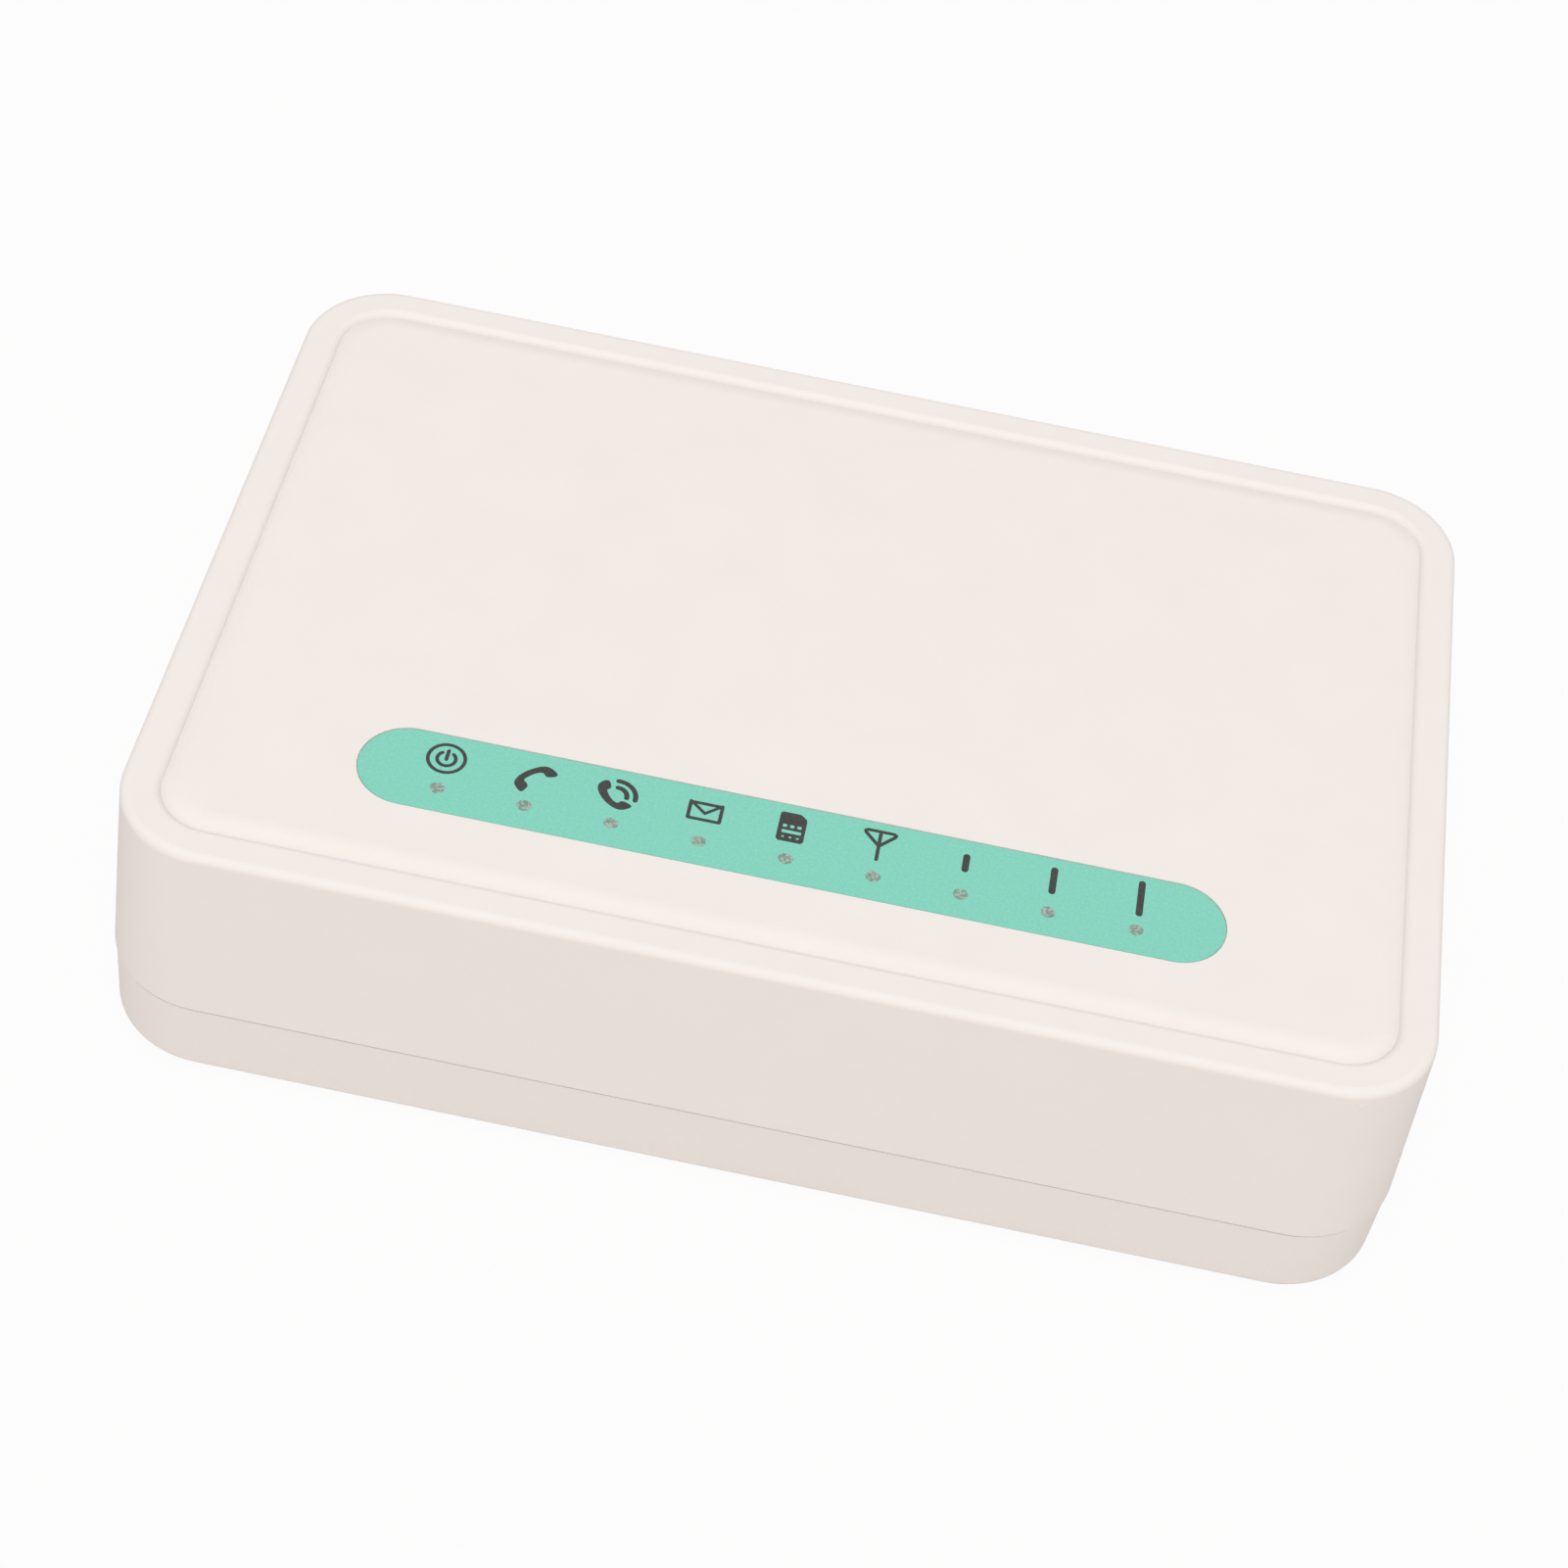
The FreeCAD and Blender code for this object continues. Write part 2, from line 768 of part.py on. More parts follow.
def blade_ys():
    return [cell_y + (i - (blade_count - 1) / 2) * blade_pitch for i in range(blade_count)]


def battery_connector():
    """Block that hangs from the board, with a slot for each spring blade."""
    x0, x1 = link_xs()
    body = block((x0, x1), (cell_y - link_w / 2, cell_y + link_w / 2), (z_cell() + 0.8, z_under))
    slots = [slab(1.4, blade_w + 0.4, 4.6, x1 - 0.7, y, z_cell() + 0.6) for y in blade_ys()]
    return less(body, *slots)


def battery_blades():
    """Bowed spring blades that press on the battery's pads."""
    x0, x1 = link_xs()
    back = x1 - 1.4 + 0.02
    low, high = z_cell() + 1.2, z_cell() + 5.2
    blades = []
    for y in blade_ys():
        middle = (low + high) / 2
        outer = Part.Arc(V(back, 0, low), V(x1 + blade_out, 0, middle), V(back, 0, high)).toShape()
        inner = Part.Arc(V(back, 0, low + 2 * blade_t), V(x1 + blade_out - blade_t, 0, middle),
                         V(back, 0, high - 2 * blade_t)).toShape()
        ends = [Part.makeLine(V(back, 0, low), V(back, 0, low + 2 * blade_t)),
                Part.makeLine(V(back, 0, high), V(back, 0, high - 2 * blade_t))]
        face = Part.Face(Part.Wire(Part.__sortEdges__([outer, inner] + ends)))
        blades.append(face.translated(V(0, y - blade_w / 2, 0)).extrude(V(0, blade_w, 0)))
    return group(blades)


def battery_door():
    """Panel with a front lip, a rear end turned up the case's wall and hooks over the ledges."""
    half = door_half
    front = door_front()
    skin = block((-half, half), (front, seam_d), (0.0, z_case + door_t))
    end = block((-half, half), (lower_d / 2 - wall + 0.1, seam_d), (0.0, z_case + door_end_h))
    door = lower_body().common(joined(skin, end))
    lip_z = z_case + door_t - door_lip_t
    lip = block((-half + 1.0, half - 1.0), (front - door_lip, front + 0.5), (lip_z, z_case + door_t))
    pieces = [lip]
    stem = ledge_half - hook_play
    z_over = z_case + door_t + ledge_h + 0.15
    for side in (-1, 1):
        for y in hook_ys():
            leg = sorted((side * (stem - hook_t), side * stem))
            toe = sorted((side * (stem - hook_t), side * (ledge_half + hook_reach)))
            pieces.append(block(leg, (y, y + hook_len), (z_case + door_t - 0.3, z_over + 1.0)))
            pieces.append(block(toe, (y, y + hook_len), (z_over, z_over + 1.0)))
    door = joined(door, *pieces)
    grips = []
    for i in range(grip_count):
        width = grip_w - grip_step * abs(i - (grip_count - 1) / 2)
        y = lower_d / 2 - grip_in - grip_step * i
        grips.append(prism(width, 0.9, 0.4, z_case - 1.0, z_case + 0.35, 0.0, y))
    return less(door, *grips)


# Lid trim

def indicator_label():
    film = prism(label_w, label_d, label_d / 2, z_top - label_recess, z_label, 0.0, label_y)
    return less(film, *[post(window_r, z_top - 1.0, z_top + 1.0, x, window_y) for x in window_xs])


def lamp_places():
    return [(x, window_y) for x in window_xs]


def status_leds():
    return group([slab(lamp_w, lamp_d, lamp_h, x, y, z_board) for x, y in lamp_places()])


def light_guide():
    """Clear moulding: square legs over the lamps, a bar that joins them, round posts up to the windows."""
    low, high = guide_bar_z()
    foot = z_board + lamp_h + lamp_gap
    tip = z_label - guide_sink
    pieces = []
    for x, y in lamp_places():
        leg = slab(guide_leg_w, guide_leg_d, low + 0.5 - foot, x, y, foot)
        stem = post(guide_top_r, high - 0.5, z_roof - fit, x, y)
        pieces.append(joined(leg, stem, post(guide_tip_r, z_roof - 0.5, tip, x, y)))
    x0, x1 = stake_xs()
    length = x1 - x0 + guide_bar_d
    bar = prism(length, guide_bar_d, guide_bar_d / 2 - 0.01, low, high - 0.02, (x0 + x1) / 2, window_y)
    guide = joined(bar, *pieces)
    return less(guide, *[post(stake_r + 0.06, low - 1.0, high + 1.0, x, window_y) for x in (x0, x1)])


# Board and what is soldered to it

def on_board(place):
    """Place on the board from its distance across and its distance in from the rear edge."""
    return place[0], board_rear - place[1]


def main_board():
    depth = board_rear - board_front
    body = prism(2 * board_x, depth, board_r, z_under, z_board, 0.0, (board_rear + board_front) / 2)
    return less(body, *[post(board_screw_r + screw_play, z_under - 1.0, z_board + 1.0, x, y)
                        for x, y in standoff_places()])


def radio_module():
    w, d, h = radio_size
    x, y = on_board(radio_in)
    notches = []
    for i in range(edge_pads):
        along = (i - (edge_pads - 1) / 2) * w / (edge_pads + 1)
        for side in (-1, 1):
            notches.append(slab(0.9, 0.9, h + 2.0, x + along, y + side * d / 2, z_board - 1.0))
    return less(slab(w, d, h, x, y, z_board), *notches)


def shield_can():
    w, d, h = radio_size
    z0 = z_board + h
    w, d = w - 2 * can_inset, d - 2 * can_inset
    can = slab(w, d, can_h, *on_board(radio_in), z0)
    rim = [e for e in can.Edges if e.BoundBox.ZMin > z0 + can_h - 0.01]
    can = can.makeFillet(0.4, rim)
    return less(can, slab(w - 2 * can_skin, d - 2 * can_skin, can_h, *on_board(radio_in), z0 - can_skin))


def controller_chip():
    """Flat square package with a row of formed legs on each side."""
    w, d, h = chip_size
    x, y = on_board(chip_in)
    pieces = [slab(w, d, h - 0.15, x, y, z_board + 0.15)]
    for i in range(chip_legs):
        along = (i - (chip_legs - 1) / 2) * leg_pitch
        for side in (-1, 1):
            pieces.append(slab(0.4, 1.0, 0.6, x + along, y + side * (d / 2 + 0.4), z_board))
            pieces.append(slab(1.0, 0.4, 0.6, x + side * (w / 2 + 0.4), y + along, z_board))
    return joined(*pieces)


def line_chip():
    w, d, h = line_chip_size
    x, y = on_board(line_chip_in)
    dot = post(0.5, z_board + h - 0.2, z_board + h + 1.0, x - w / 2 + 1.4, y + d / 2 - 1.4)
    return less(slab(w, d, h, x, y, z_board), dot)


def coil_bobbin():
    """Flanged bobbin that the transformer's core closes round."""
    w, d, h = coil_size
    x, y = on_board(coil_in)
    low = slab(w, d - 0.4, 1.2, x, y, z_board)
    high = slab(w, d - 0.4, 1.2, x, y, z_board + h - 1.2)
    waist = slab(w - 2 * coil_wall - 1.0, d - 2.0, h, x, y, z_board)
    return joined(low, high, waist)


def coil_core():
    """Ferrite frame round the bobbin, open at the front and the rear."""
    w, d, h = coil_size
    x, y = on_board(coil_in)
    outer = slab(w + 2 * coil_wall, d - 3.0, h + 2 * coil_wall - 1.0, x, y, z_board)
    hole = slab(w + 0.1, d, h + 0.1, x, y, z_board - 0.05)
    return less(outer, hole)


def choke():
    w, d, h = choke_size
    body = slab(w, d, h, *on_board(choke_in), z_board)
    upright = [e for e in body.Edges if abs(e.BoundBox.ZLength - h) < 0.01]
    body = body.makeChamfer(1.2, upright)
    return less(body, less(post(3.2, z_board + h - 0.6, z_board + h + 1.0, *on_board(choke_in)),
                           post(2.2, z_board, z_board + h, *on_board(choke_in))))


def can_capacitors():
    """Electrolytic cans with the rolled groove above their seal and a scored top."""
    cans = []
    for x, y in map(on_board, can_cap_in):
        can = post(can_cap_r, z_board, z_board + can_cap_h, x, y)
        groove = less(post(can_cap_r + 0.1, z_board + 1.5, z_board + 2.3, x, y),
                      post(can_cap_r - 0.35, z_board + 1.0, z_board + 3.0, x, y))
        top = z_board + can_cap_h
        score = joined(slab(can_cap_r * 1.5, 0.3, 0.4, x, y, top - 0.2),
                       slab(0.3, can_cap_r * 1.5, 0.4, x, y, top - 0.2))
        cans.append(less(can, groove, score))
    return group(cans)


def small_chips():
    w, d, h = small_chip_size
    chips = []
    for x, y in map(on_board, small_chip_in):
        pieces = [slab(w, d, h - 0.1, x, y, z_board + 0.1)]
        for i in range(4):
            for side in (-1, 1):
                pieces.append(slab(0.45, 1.0, 0.7, x + (i - 1.5) * 1.2, y + side * (d / 2 + 0.4), z_board))
        chips.append(joined(*pieces))
    return group(chips)


# Telephone line sockets

def jack_face():
    return rear_face(z_board + jack_h) - 0.25


def wire_xs(x):
    return [x + (i - (wire_count - 1) / 2) * wire_pitch for i in range(wire_count)]


def phone_jack(x):
    """Moulded socket: plug bay, latch slot with its catch and grooves for the wires."""
    face = jack_face()
    body = slab(jack_w, jack_d, jack_h, x, face - jack_d / 2, z_board)
    z0 = z_board + jack_bay_z
    ceiling = z0 + jack_bay_h
    out = face + 1.0
    bay = block((x - jack_bay_w / 2, x + jack_bay_w / 2), (face - jack_bay_d, out), (z0, ceiling))
    half = jack_latch_w / 2
    latch = block((x - half, x + half), (face - jack_bay_d, out), (z0 - jack_latch_h, z0 + 0.1))
    slot = block((x - jack_latch_slot / 2, x + jack_latch_slot / 2), (face - jack_bay_d, out),
                 (z0 - 2 * jack_latch_h, z0))
    catch = block((x - half, x + half), (face - jack_bay_d, face - jack_lip), (z0 - 2 * jack_latch_h, z0))
    run = (face - jack_d - 1.0, face - wire_start + 0.5)
    grooves = [block((wx - 0.3, wx + 0.3), run, (ceiling - 0.1, ceiling + 0.7))
               for wx in wire_xs(x)]
    return less(body, bay, latch, slot, catch, *grooves)


def jack_contacts(x):
    """Sprung contacts: up the socket's back, along its ceiling, then back down into the bay."""
    face = jack_face()
    high = z_board + jack_bay_z + jack_bay_h + 0.35
    back = face - jack_d - wire_r - 0.1
    front = face - wire_start
    wires = []
    for wx in wire_xs(x):
        sides = (wx - wire_r, wx + wire_r)
        tail = block(sides, (back - wire_r, back + wire_r), (z_board, high + wire_r))
        along = block(sides, (back - wire_r, front + wire_r), (high - wire_r, high + wire_r))
        tip_y, tip_z = front - wire_reach, high - wire_dip - 0.35
        side = [(front + wire_r, high + wire_r), (front - wire_r, high + wire_r), (tip_y, tip_z + wire_r),
                (tip_y, tip_z - wire_r), (front + wire_r, high - wire_r)]
        spring = plate([V(sides[0], y, z) for y, z in side], 2 * wire_r, V(1, 0, 0))
        wires.append(joined(tail, along, spring))
    return group(wires)


# Power inlet

def inlet_face():
    return rear_face(z_board + inlet_axis + inlet_nose_r) - 0.25


def dc_jack_body():
    face = inlet_face()
    z_axis = z_board + inlet_axis
    body = block((inlet_x - inlet_w / 2, inlet_x + inlet_w / 2), (face - inlet_d, face), (z_board, z_axis))
    crown = rod(inlet_nose_r, face - inlet_d, face, inlet_x, z_axis)
    bore = rod(inlet_bore_r, face - inlet_bore_d, face + 1.0, inlet_x, z_axis)
    leaf_slot = slab(inlet_leaf_w + 0.3, inlet_bore_d - 1.5, 2.0, inlet_x, face - 0.75 - inlet_bore_d / 2,
                     z_axis - inlet_bore_r - 1.3)
    return less(joined(body, crown), bore, leaf_slot)


def dc_jack_pin():
    face = inlet_face()
    z_axis = z_board + inlet_axis
    length = inlet_bore_d - inlet_pin_short
    pin = rod(inlet_pin_r, face - inlet_bore_d, face - inlet_bore_d + length, inlet_x, z_axis)
    tip = [e for e in pin.Edges if e.BoundBox.YMin > face - inlet_pin_short - 0.01]
    return pin.makeFillet(0.4, tip)


def dc_jack_leaf():
    """Sprung leaf in the floor of the bore that bears on the plug's sleeve."""
    face = inlet_face()
    low = z_board + inlet_axis - inlet_bore_r - 1.2
    y0, y1 = face - inlet_bore_d + 0.4, face - 1.8
    middle = (y0 + y1) / 2
    side = V(inlet_x - inlet_leaf_w / 2, 0, 0)
    lift = 1.0
    points = [V(0, y0, low), V(0, y1, low), V(0, y1, low + inlet_leaf_t), V(0, middle + 1.0, low + inlet_leaf_t + lift),
              V(0, middle - 1.0, low + inlet_leaf_t + lift), V(0, y0, low + inlet_leaf_t)]
    return plate([p + side for p in points], inlet_leaf_w, V(1, 0, 0))


# Power switch

def switch_front():
    return rear_face(z_board + switch_h) - wall - 0.2


def switch_frame():
    """Folded steel cover with a slot for the knob."""
    front = switch_front()
    outer = slab(switch_w, switch_d, switch_h, switch_x, front - switch_d / 2, z_board)
    inner = block((switch_x - switch_w / 2 + switch_skin, switch_x + switch_w / 2 - switch_skin),
                  (front - switch_d - 1.0, front - switch_skin), (z_board - 1.0, z_board + switch_h - switch_skin))
    low, high = switch_slot_z()
    half = switch_knob_w / 2 + switch_travel
    slot = block((switch_x - half, switch_x + half), (front - 1.0, front + 1.0), (low, high))
    return less(outer, inner, slot)


def switch_base():
    """Insulating base with its contact tails, closing the cover from below and behind."""
    front = switch_front()
    w = switch_w - 2 * switch_skin - 0.1
    y0 = front - switch_d
    sides = (switch_x - w / 2, switch_x + w / 2)
    base = block(sides, (y0, front - switch_skin - 0.1), (z_board, z_board + switch_base_h))
    back = block(sides, (y0, y0 + 1.0), (z_board, z_board + switch_h - switch_skin - 0.05))
    return joined(base, back)


def switch_slider():
    """Knob and carriage; at rest the knob stands at the low end of its slot."""
    front = switch_front()
    low, high = switch_slot_z()
    x = switch_x - switch_travel / 2
    out = seam_d / 2 + switch_out
    knob = slab(switch_knob_w, out - front + 1.0, high - low - 2 * fit, x, (out + front - 1.0) / 2, low + fit)
    ridge_y = [out - 0.35]
    carriage_w = switch_w - 2 * switch_skin - switch_travel - 0.4
    carriage = slab(carriage_w, 3.6, 3.8, x, front - switch_skin - 0.15 - 1.8, z_board + switch_base_h + 0.1)
    rim = [e for e in knob.Edges if e.BoundBox.YMin > out - 0.01]
    knob = knob.makeFillet(0.4, rim)
    grooves = [slab(0.5, 1.2, high - low, x + i * 0.9, ridge_y[0] + 0.5, low) for i in (-1, 0, 1)]
    return joined(less(knob, *grooves), carriage)


# Aerial socket

def aerial_seat():
    """Flat spot on the rear wall that the washer bears on."""
    return rear_face(z_board + aerial_axis + spot_r) - spot_sink


def aerial_body():
    z = z_board + aerial_axis
    shoulder = aerial_seat() - wall - 0.4
    block_rear = shoulder - 1.5
    foot = block((aerial_x - aerial_block_w / 2, aerial_x + aerial_block_w / 2),
                 (block_rear - aerial_block_d, block_rear), (z_board, z + aerial_r + 0.4))
    collar = rod(aerial_collar_r, block_rear - 0.5, shoulder, aerial_x, z)
    barrel = rod(aerial_r, shoulder - 1.0, thread_end, aerial_x, z)
    rim = [e for e in barrel.Edges if e.BoundBox.YMin > thread_end - 0.01]
    barrel = barrel.makeChamfer(0.3, rim)
    socket = rod(aerial_bore_r, thread_end - aerial_bore_d, thread_end + 1.0, aerial_x, z)
    bore = rod(aerial_core_r, block_rear - aerial_block_d + 1.5, thread_end, aerial_x, z)
    nut_face = aerial_seat() + washer_t + nut_t
    relief = less(rod(aerial_r + 1.0, nut_face, nut_face + relief_w, aerial_x, z),
                  rod(relief_r, nut_face - 1.0, nut_face + relief_w + 1.0, aerial_x, z))
    return less(joined(foot, collar, barrel), socket, bore, relief)


def aerial_insulator():
    z = z_board + aerial_axis
    y0 = aerial_seat() - wall - 1.9 - aerial_block_d + 1.5
    core = rod(aerial_core_r - 0.01, y0, thread_end - aerial_bore_d, aerial_x, z)
    return less(core, rod(aerial_contact_r + 0.01, y0 + 1.0, thread_end, aerial_x, z))


def aerial_contact():
    z = z_board + aerial_axis
    y0 = aerial_seat() - wall - 1.9 - aerial_block_d + 2.5
    y1 = thread_end - aerial_bore_d - 0.05
    contact = rod(aerial_contact_r, y0, y1, aerial_x, z)
    return less(contact, rod(aerial_hole_r, y1 - 3.0, y1 + 1.0, aerial_x, z))


def aerial_washer():
    z = z_board + aerial_axis
    seat = aerial_seat()
    washer = rod(washer_r, seat, seat + washer_t, aerial_x, z)
    teeth = []
    for i in range(washer_teeth):
        turn = i * 2 * math.pi / washer_teeth
        x, up = aerial_x + washer_r * math.cos(turn), z + washer_r * math.sin(turn)
        tooth = rod(0.4, seat - 1.0, seat + washer_t + 1.0, x, up)
        teeth.append(tooth)
    return less(washer, rod(aerial_r + 0.05, seat - 1.0, seat + 2.0, aerial_x, z), *teeth)


def aerial_nut():
    """Hexagon nut with its corners turned off."""
    z = z_board + aerial_axis
    seat = aerial_seat() + washer_t
    corner_r = nut_flats / math.sqrt(3)
    turns = [i * math.pi / 3 for i in range(6)]
    points = [V(aerial_x + corner_r * math.cos(turn), seat, z + corner_r * math.sin(turn)) for turn in turns]
    hexagon = plate(points, nut_t, V(0, 1, 0))
    turned = rod(corner_r - 0.05, seat - 0.1, seat + nut_t, aerial_x, z)
    rim = [e for e in turned.Edges if e.BoundBox.YMin > seat + nut_t - 0.01]
    turned = turned.makeChamfer(0.45, rim)
    return less(hexagon.common(turned), rod(aerial_r + 0.05, seat - 1.0, seat + nut_t + 1.0, aerial_x, z))


# Card drawer

def drawer_rear():
    """Where the drawer's body ends against its own face, just outside the rear wall."""
    return rear_face(z_seam) + 0.15


def sim_tray():
    """Open tray with a pocket of the card's outline and a face with a finger groove."""
    z0 = z_board + drawer_rise
    end = drawer_rear()
    start = end - drawer_len
    body = slab(drawer_w, drawer_len + 0.5, drawer_t, drawer_x, (start + end + 0.5) / 2, z0)
    face_z = z0 + drawer_t / 2 - drawer_face_h / 2
    face = slab(drawer_face_w, drawer_face_t, drawer_face_h, drawer_x, end + drawer_face_t / 2, face_z)
    rim = [e for e in face.Edges if e.BoundBox.YMin > end + drawer_face_t - 0.01]
    face = face.makeFillet(0.4, rim)
    x0, x1 = drawer_x - card_w / 2, drawer_x + card_w / 2
    y0, y1 = start + 1.0, start + 1.0 + card_l
    z = z0 + drawer_t - card_t
    card = plate([V(x0, y0, z), V(x1 - card_cut, y0, z), V(x1, y0 + card_cut, z), V(x1, y1, z), V(x0, y1, z)],
                 card_t + 1.0, V(0, 0, 1))
    window_y0 = start + 1.0 + card_window_in
    window = block((drawer_x - card_window_w / 2, drawer_x + card_window_w / 2),
                   (window_y0, window_y0 + card_window_l), (z0 - 1.0, z0 + drawer_t))
    groove = slab(drawer_face_w * 0.6, 1.0, 0.8, drawer_x, end + drawer_face_t, face_z + drawer_face_h - 1.5)
    return less(joined(body, face), card, window, groove)


def cage_box():
    """Inner sides of the drawer's cage."""
    z0 = z_board + contact_base_t
    half = drawer_w / 2 + cage_play
    front = drawer_rear() - drawer_len - cage_play
    z1 = z_board + drawer_rise + drawer_t + cage_play
    return (drawer_x - half, drawer_x + half), (front, front + cage_len), (z0, z1)


def sim_cage():
    """Folded steel channel over the drawer, with two feet soldered to the board."""
    xs, ys, zs = cage_box()
    outer = block((xs[0] - cage_t, xs[1] + cage_t), (ys[0] - cage_t, ys[1]), (z_board, zs[1] + cage_t))
    inner = block(xs, (ys[0], ys[1] + 1.0), (z_board - 1.0, zs[1]))
    window = prism(cage_window_w, cage_window_l, 1.0, zs[1] - 1.0, zs[1] + 1.0, drawer_x, (ys[0] + ys[1]) / 2)
    feet = []
    for side, x in ((-1, xs[0] - cage_t), (1, xs[1] + cage_t)):
        wide = sorted((x, x + side * 1.6))
        for y in (ys[0] + 4.0, ys[1] - 4.0):
            feet.append(block(wide, (y - 1.2, y + 1.2), (z_board, z_board + cage_t)))
    return joined(less(outer, inner, window), *feet)


def sim_contact_base():
    xs, ys, zs = cage_box()
    return block((xs[0] + 0.1, xs[1] - 0.1), (ys[0] + 0.1, ys[1] - 2.0), (z_board, z_base_top()))


def z_base_top():
    return z_board + contact_base_t - 0.05


def sim_contacts():
    """Bowed contact leaves in two rows that reach up to the drawer's window."""
    z0, crown = z_base_top(), z_board + drawer_rise - leaf_air
    middle_y = drawer_rear() - drawer_len + 1.0 + card_window_in + card_window_l / 2
    half = leaf_l / 2
    outer = Part.Arc(V(0, -half, z0), V(0, 0, crown), V(0, half, z0)).toShape()
    inner = Part.Arc(V(0, -half + 2 * leaf_t, z0), V(0, 0, crown - leaf_t), V(0, half - 2 * leaf_t, z0)).toShape()
    ends = [Part.makeLine(V(0, side * half, z0), V(0, side * (half - 2 * leaf_t), z0)) for side in (-1, 1)]
    face = Part.Face(Part.Wire(Part.__sortEdges__([outer, inner] + ends)))
    leaves = []
    for i in range(leaf_rows):
        for side in (-1, 1):
            left = drawer_x + (i - (leaf_rows - 1) / 2) * leaf_pitch - leaf_w / 2
            corner = V(left, middle_y + side * leaf_apart / 2, 0)
            leaves.append(face.translated(corner).extrude(V(leaf_w, 0, 0)))
    return group(leaves)


# All pieces

def nodes():
    return {
        "top_cover": top_cover(),
        "bottom_case": bottom_case(),
        "indicator_label": indicator_label(),
        "light_guide": light_guide(),
        "status_leds": status_leds(),
        "main_board": main_board(),
        "radio_module": radio_module(),
        "radio_shield": shield_can(),
        "controller_chip": controller_chip(),
        "line_interface_chip": line_chip(),
        "transformer_bobbin": coil_bobbin(),
        "transformer_core": coil_core(),
        "power_choke": choke(),
        "can_capacitors": can_capacitors(),
        "small_chips": small_chips(),
        "phone_jack_1": phone_jack(jack_x[0]),
        "phone_jack_1_contacts": jack_contacts(jack_x[0]),
        "phone_jack_2": phone_jack(jack_x[1]),
        "phone_jack_2_contacts": jack_contacts(jack_x[1]),
        "dc_jack_body": dc_jack_body(),
        "dc_jack_pin": dc_jack_pin(),
        "dc_jack_leaf": dc_jack_leaf(),
        "power_switch_frame": switch_frame(),
        "power_switch_base": switch_base(),
        "power_switch_slider": switch_slider(),
        "aerial_socket": aerial_body(),
        "aerial_insulator": aerial_insulator(),
        "aerial_contact": aerial_contact(),
        "aerial_washer": aerial_washer(),
        "aerial_nut": aerial_nut(),
        "sim_cage": sim_cage(),
        "sim_contact_base": sim_contact_base(),
        "sim_contacts": sim_contacts(),
        "sim_tray": sim_tray(),
        "battery_pack": battery_pack(),
        "battery_connector": battery_connector(),
        "battery_blades": battery_blades(),
        "battery_door": battery_door(),
        "case_screws": case_screws(),
        "board_screws": board_screws(),
        "rubber_feet": group([rubber_foot(x, y) for x, y in foot_places()]),
    }


os.makedirs("parts", exist_ok=True)
for name, shape in nodes().items():
    shape.translate(V(0, shift_y, 0))
    shape.exportStep("parts/" + name + ".step")
    state = "valid" if shape.isValid() else "NOT VALID"
    print(name, len(shape.Solids), "solids", round(shape.Volume, 1), "mm3", state)
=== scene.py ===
import math

import bmesh
import bpy
from mathutils import Matrix, Vector
from mathutils.geometry import tessellate_polygon


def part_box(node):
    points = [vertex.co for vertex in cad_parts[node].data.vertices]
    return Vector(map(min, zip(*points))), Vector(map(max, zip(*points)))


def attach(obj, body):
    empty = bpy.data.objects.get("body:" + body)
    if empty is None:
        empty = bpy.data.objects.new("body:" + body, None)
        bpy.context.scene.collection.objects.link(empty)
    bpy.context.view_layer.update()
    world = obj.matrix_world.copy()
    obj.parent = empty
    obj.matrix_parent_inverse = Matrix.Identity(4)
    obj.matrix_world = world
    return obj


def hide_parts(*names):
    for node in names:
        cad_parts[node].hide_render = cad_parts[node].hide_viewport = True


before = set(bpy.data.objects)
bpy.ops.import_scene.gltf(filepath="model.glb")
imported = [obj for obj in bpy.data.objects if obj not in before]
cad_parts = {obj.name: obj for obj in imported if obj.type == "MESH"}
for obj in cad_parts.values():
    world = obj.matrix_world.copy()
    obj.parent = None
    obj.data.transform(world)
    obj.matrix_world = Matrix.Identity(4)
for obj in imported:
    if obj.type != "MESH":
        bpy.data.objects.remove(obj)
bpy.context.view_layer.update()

MM = 0.001
CASE = "case"


# Colour and node helpers

def linear(code):
    """sRGB hex such as "F2EAE4" to a linear colour with alpha."""
    parts = [int(code[i:i + 2], 16) / 255 for i in (0, 2, 4)]
    return [p / 12.92 if p <= 0.04045 else ((p + 0.055) / 1.055) ** 2.4 for p in parts] + [1.0]


def add_node(tree, kind, feeds=None, **settings):
    """Adds a node; settings are its sockets or properties by name, and feeds gives other nodes'
    outputs or plain values to its sockets by name or number."""
    node = tree.nodes.new(kind)
    for name, value in settings.items():
        label = name.replace("_", " ")
        socket = next((s for s in node.inputs if s.name == label and s.enabled), None)
        if socket is None or hasattr(node, name):
            setattr(node, name, value)
        else:
            socket.default_value = value
    for name, feed in (feeds or {}).items():
        if isinstance(feed, bpy.types.NodeSocket):
            tree.links.new(feed, node.inputs[name])
        else:
            node.inputs[name].default_value = feed
    return node


def finish_of(name, colour, roughness, **shader):
    """New material with one Principled shader; the other arguments set its sockets."""
    material = bpy.data.materials.new(name)
    material.use_nodes = True
    tree = material.node_tree
    surface = tree.nodes["Principled BSDF"]
    surface.inputs["Base Color"].default_value = linear(colour)
    surface.inputs["Roughness"].default_value = roughness
    for socket, value in shader.items():
        surface.inputs[socket.replace("_", " ")].default_value = value
    material.diffuse_color = linear(colour)
    return material, tree, surface


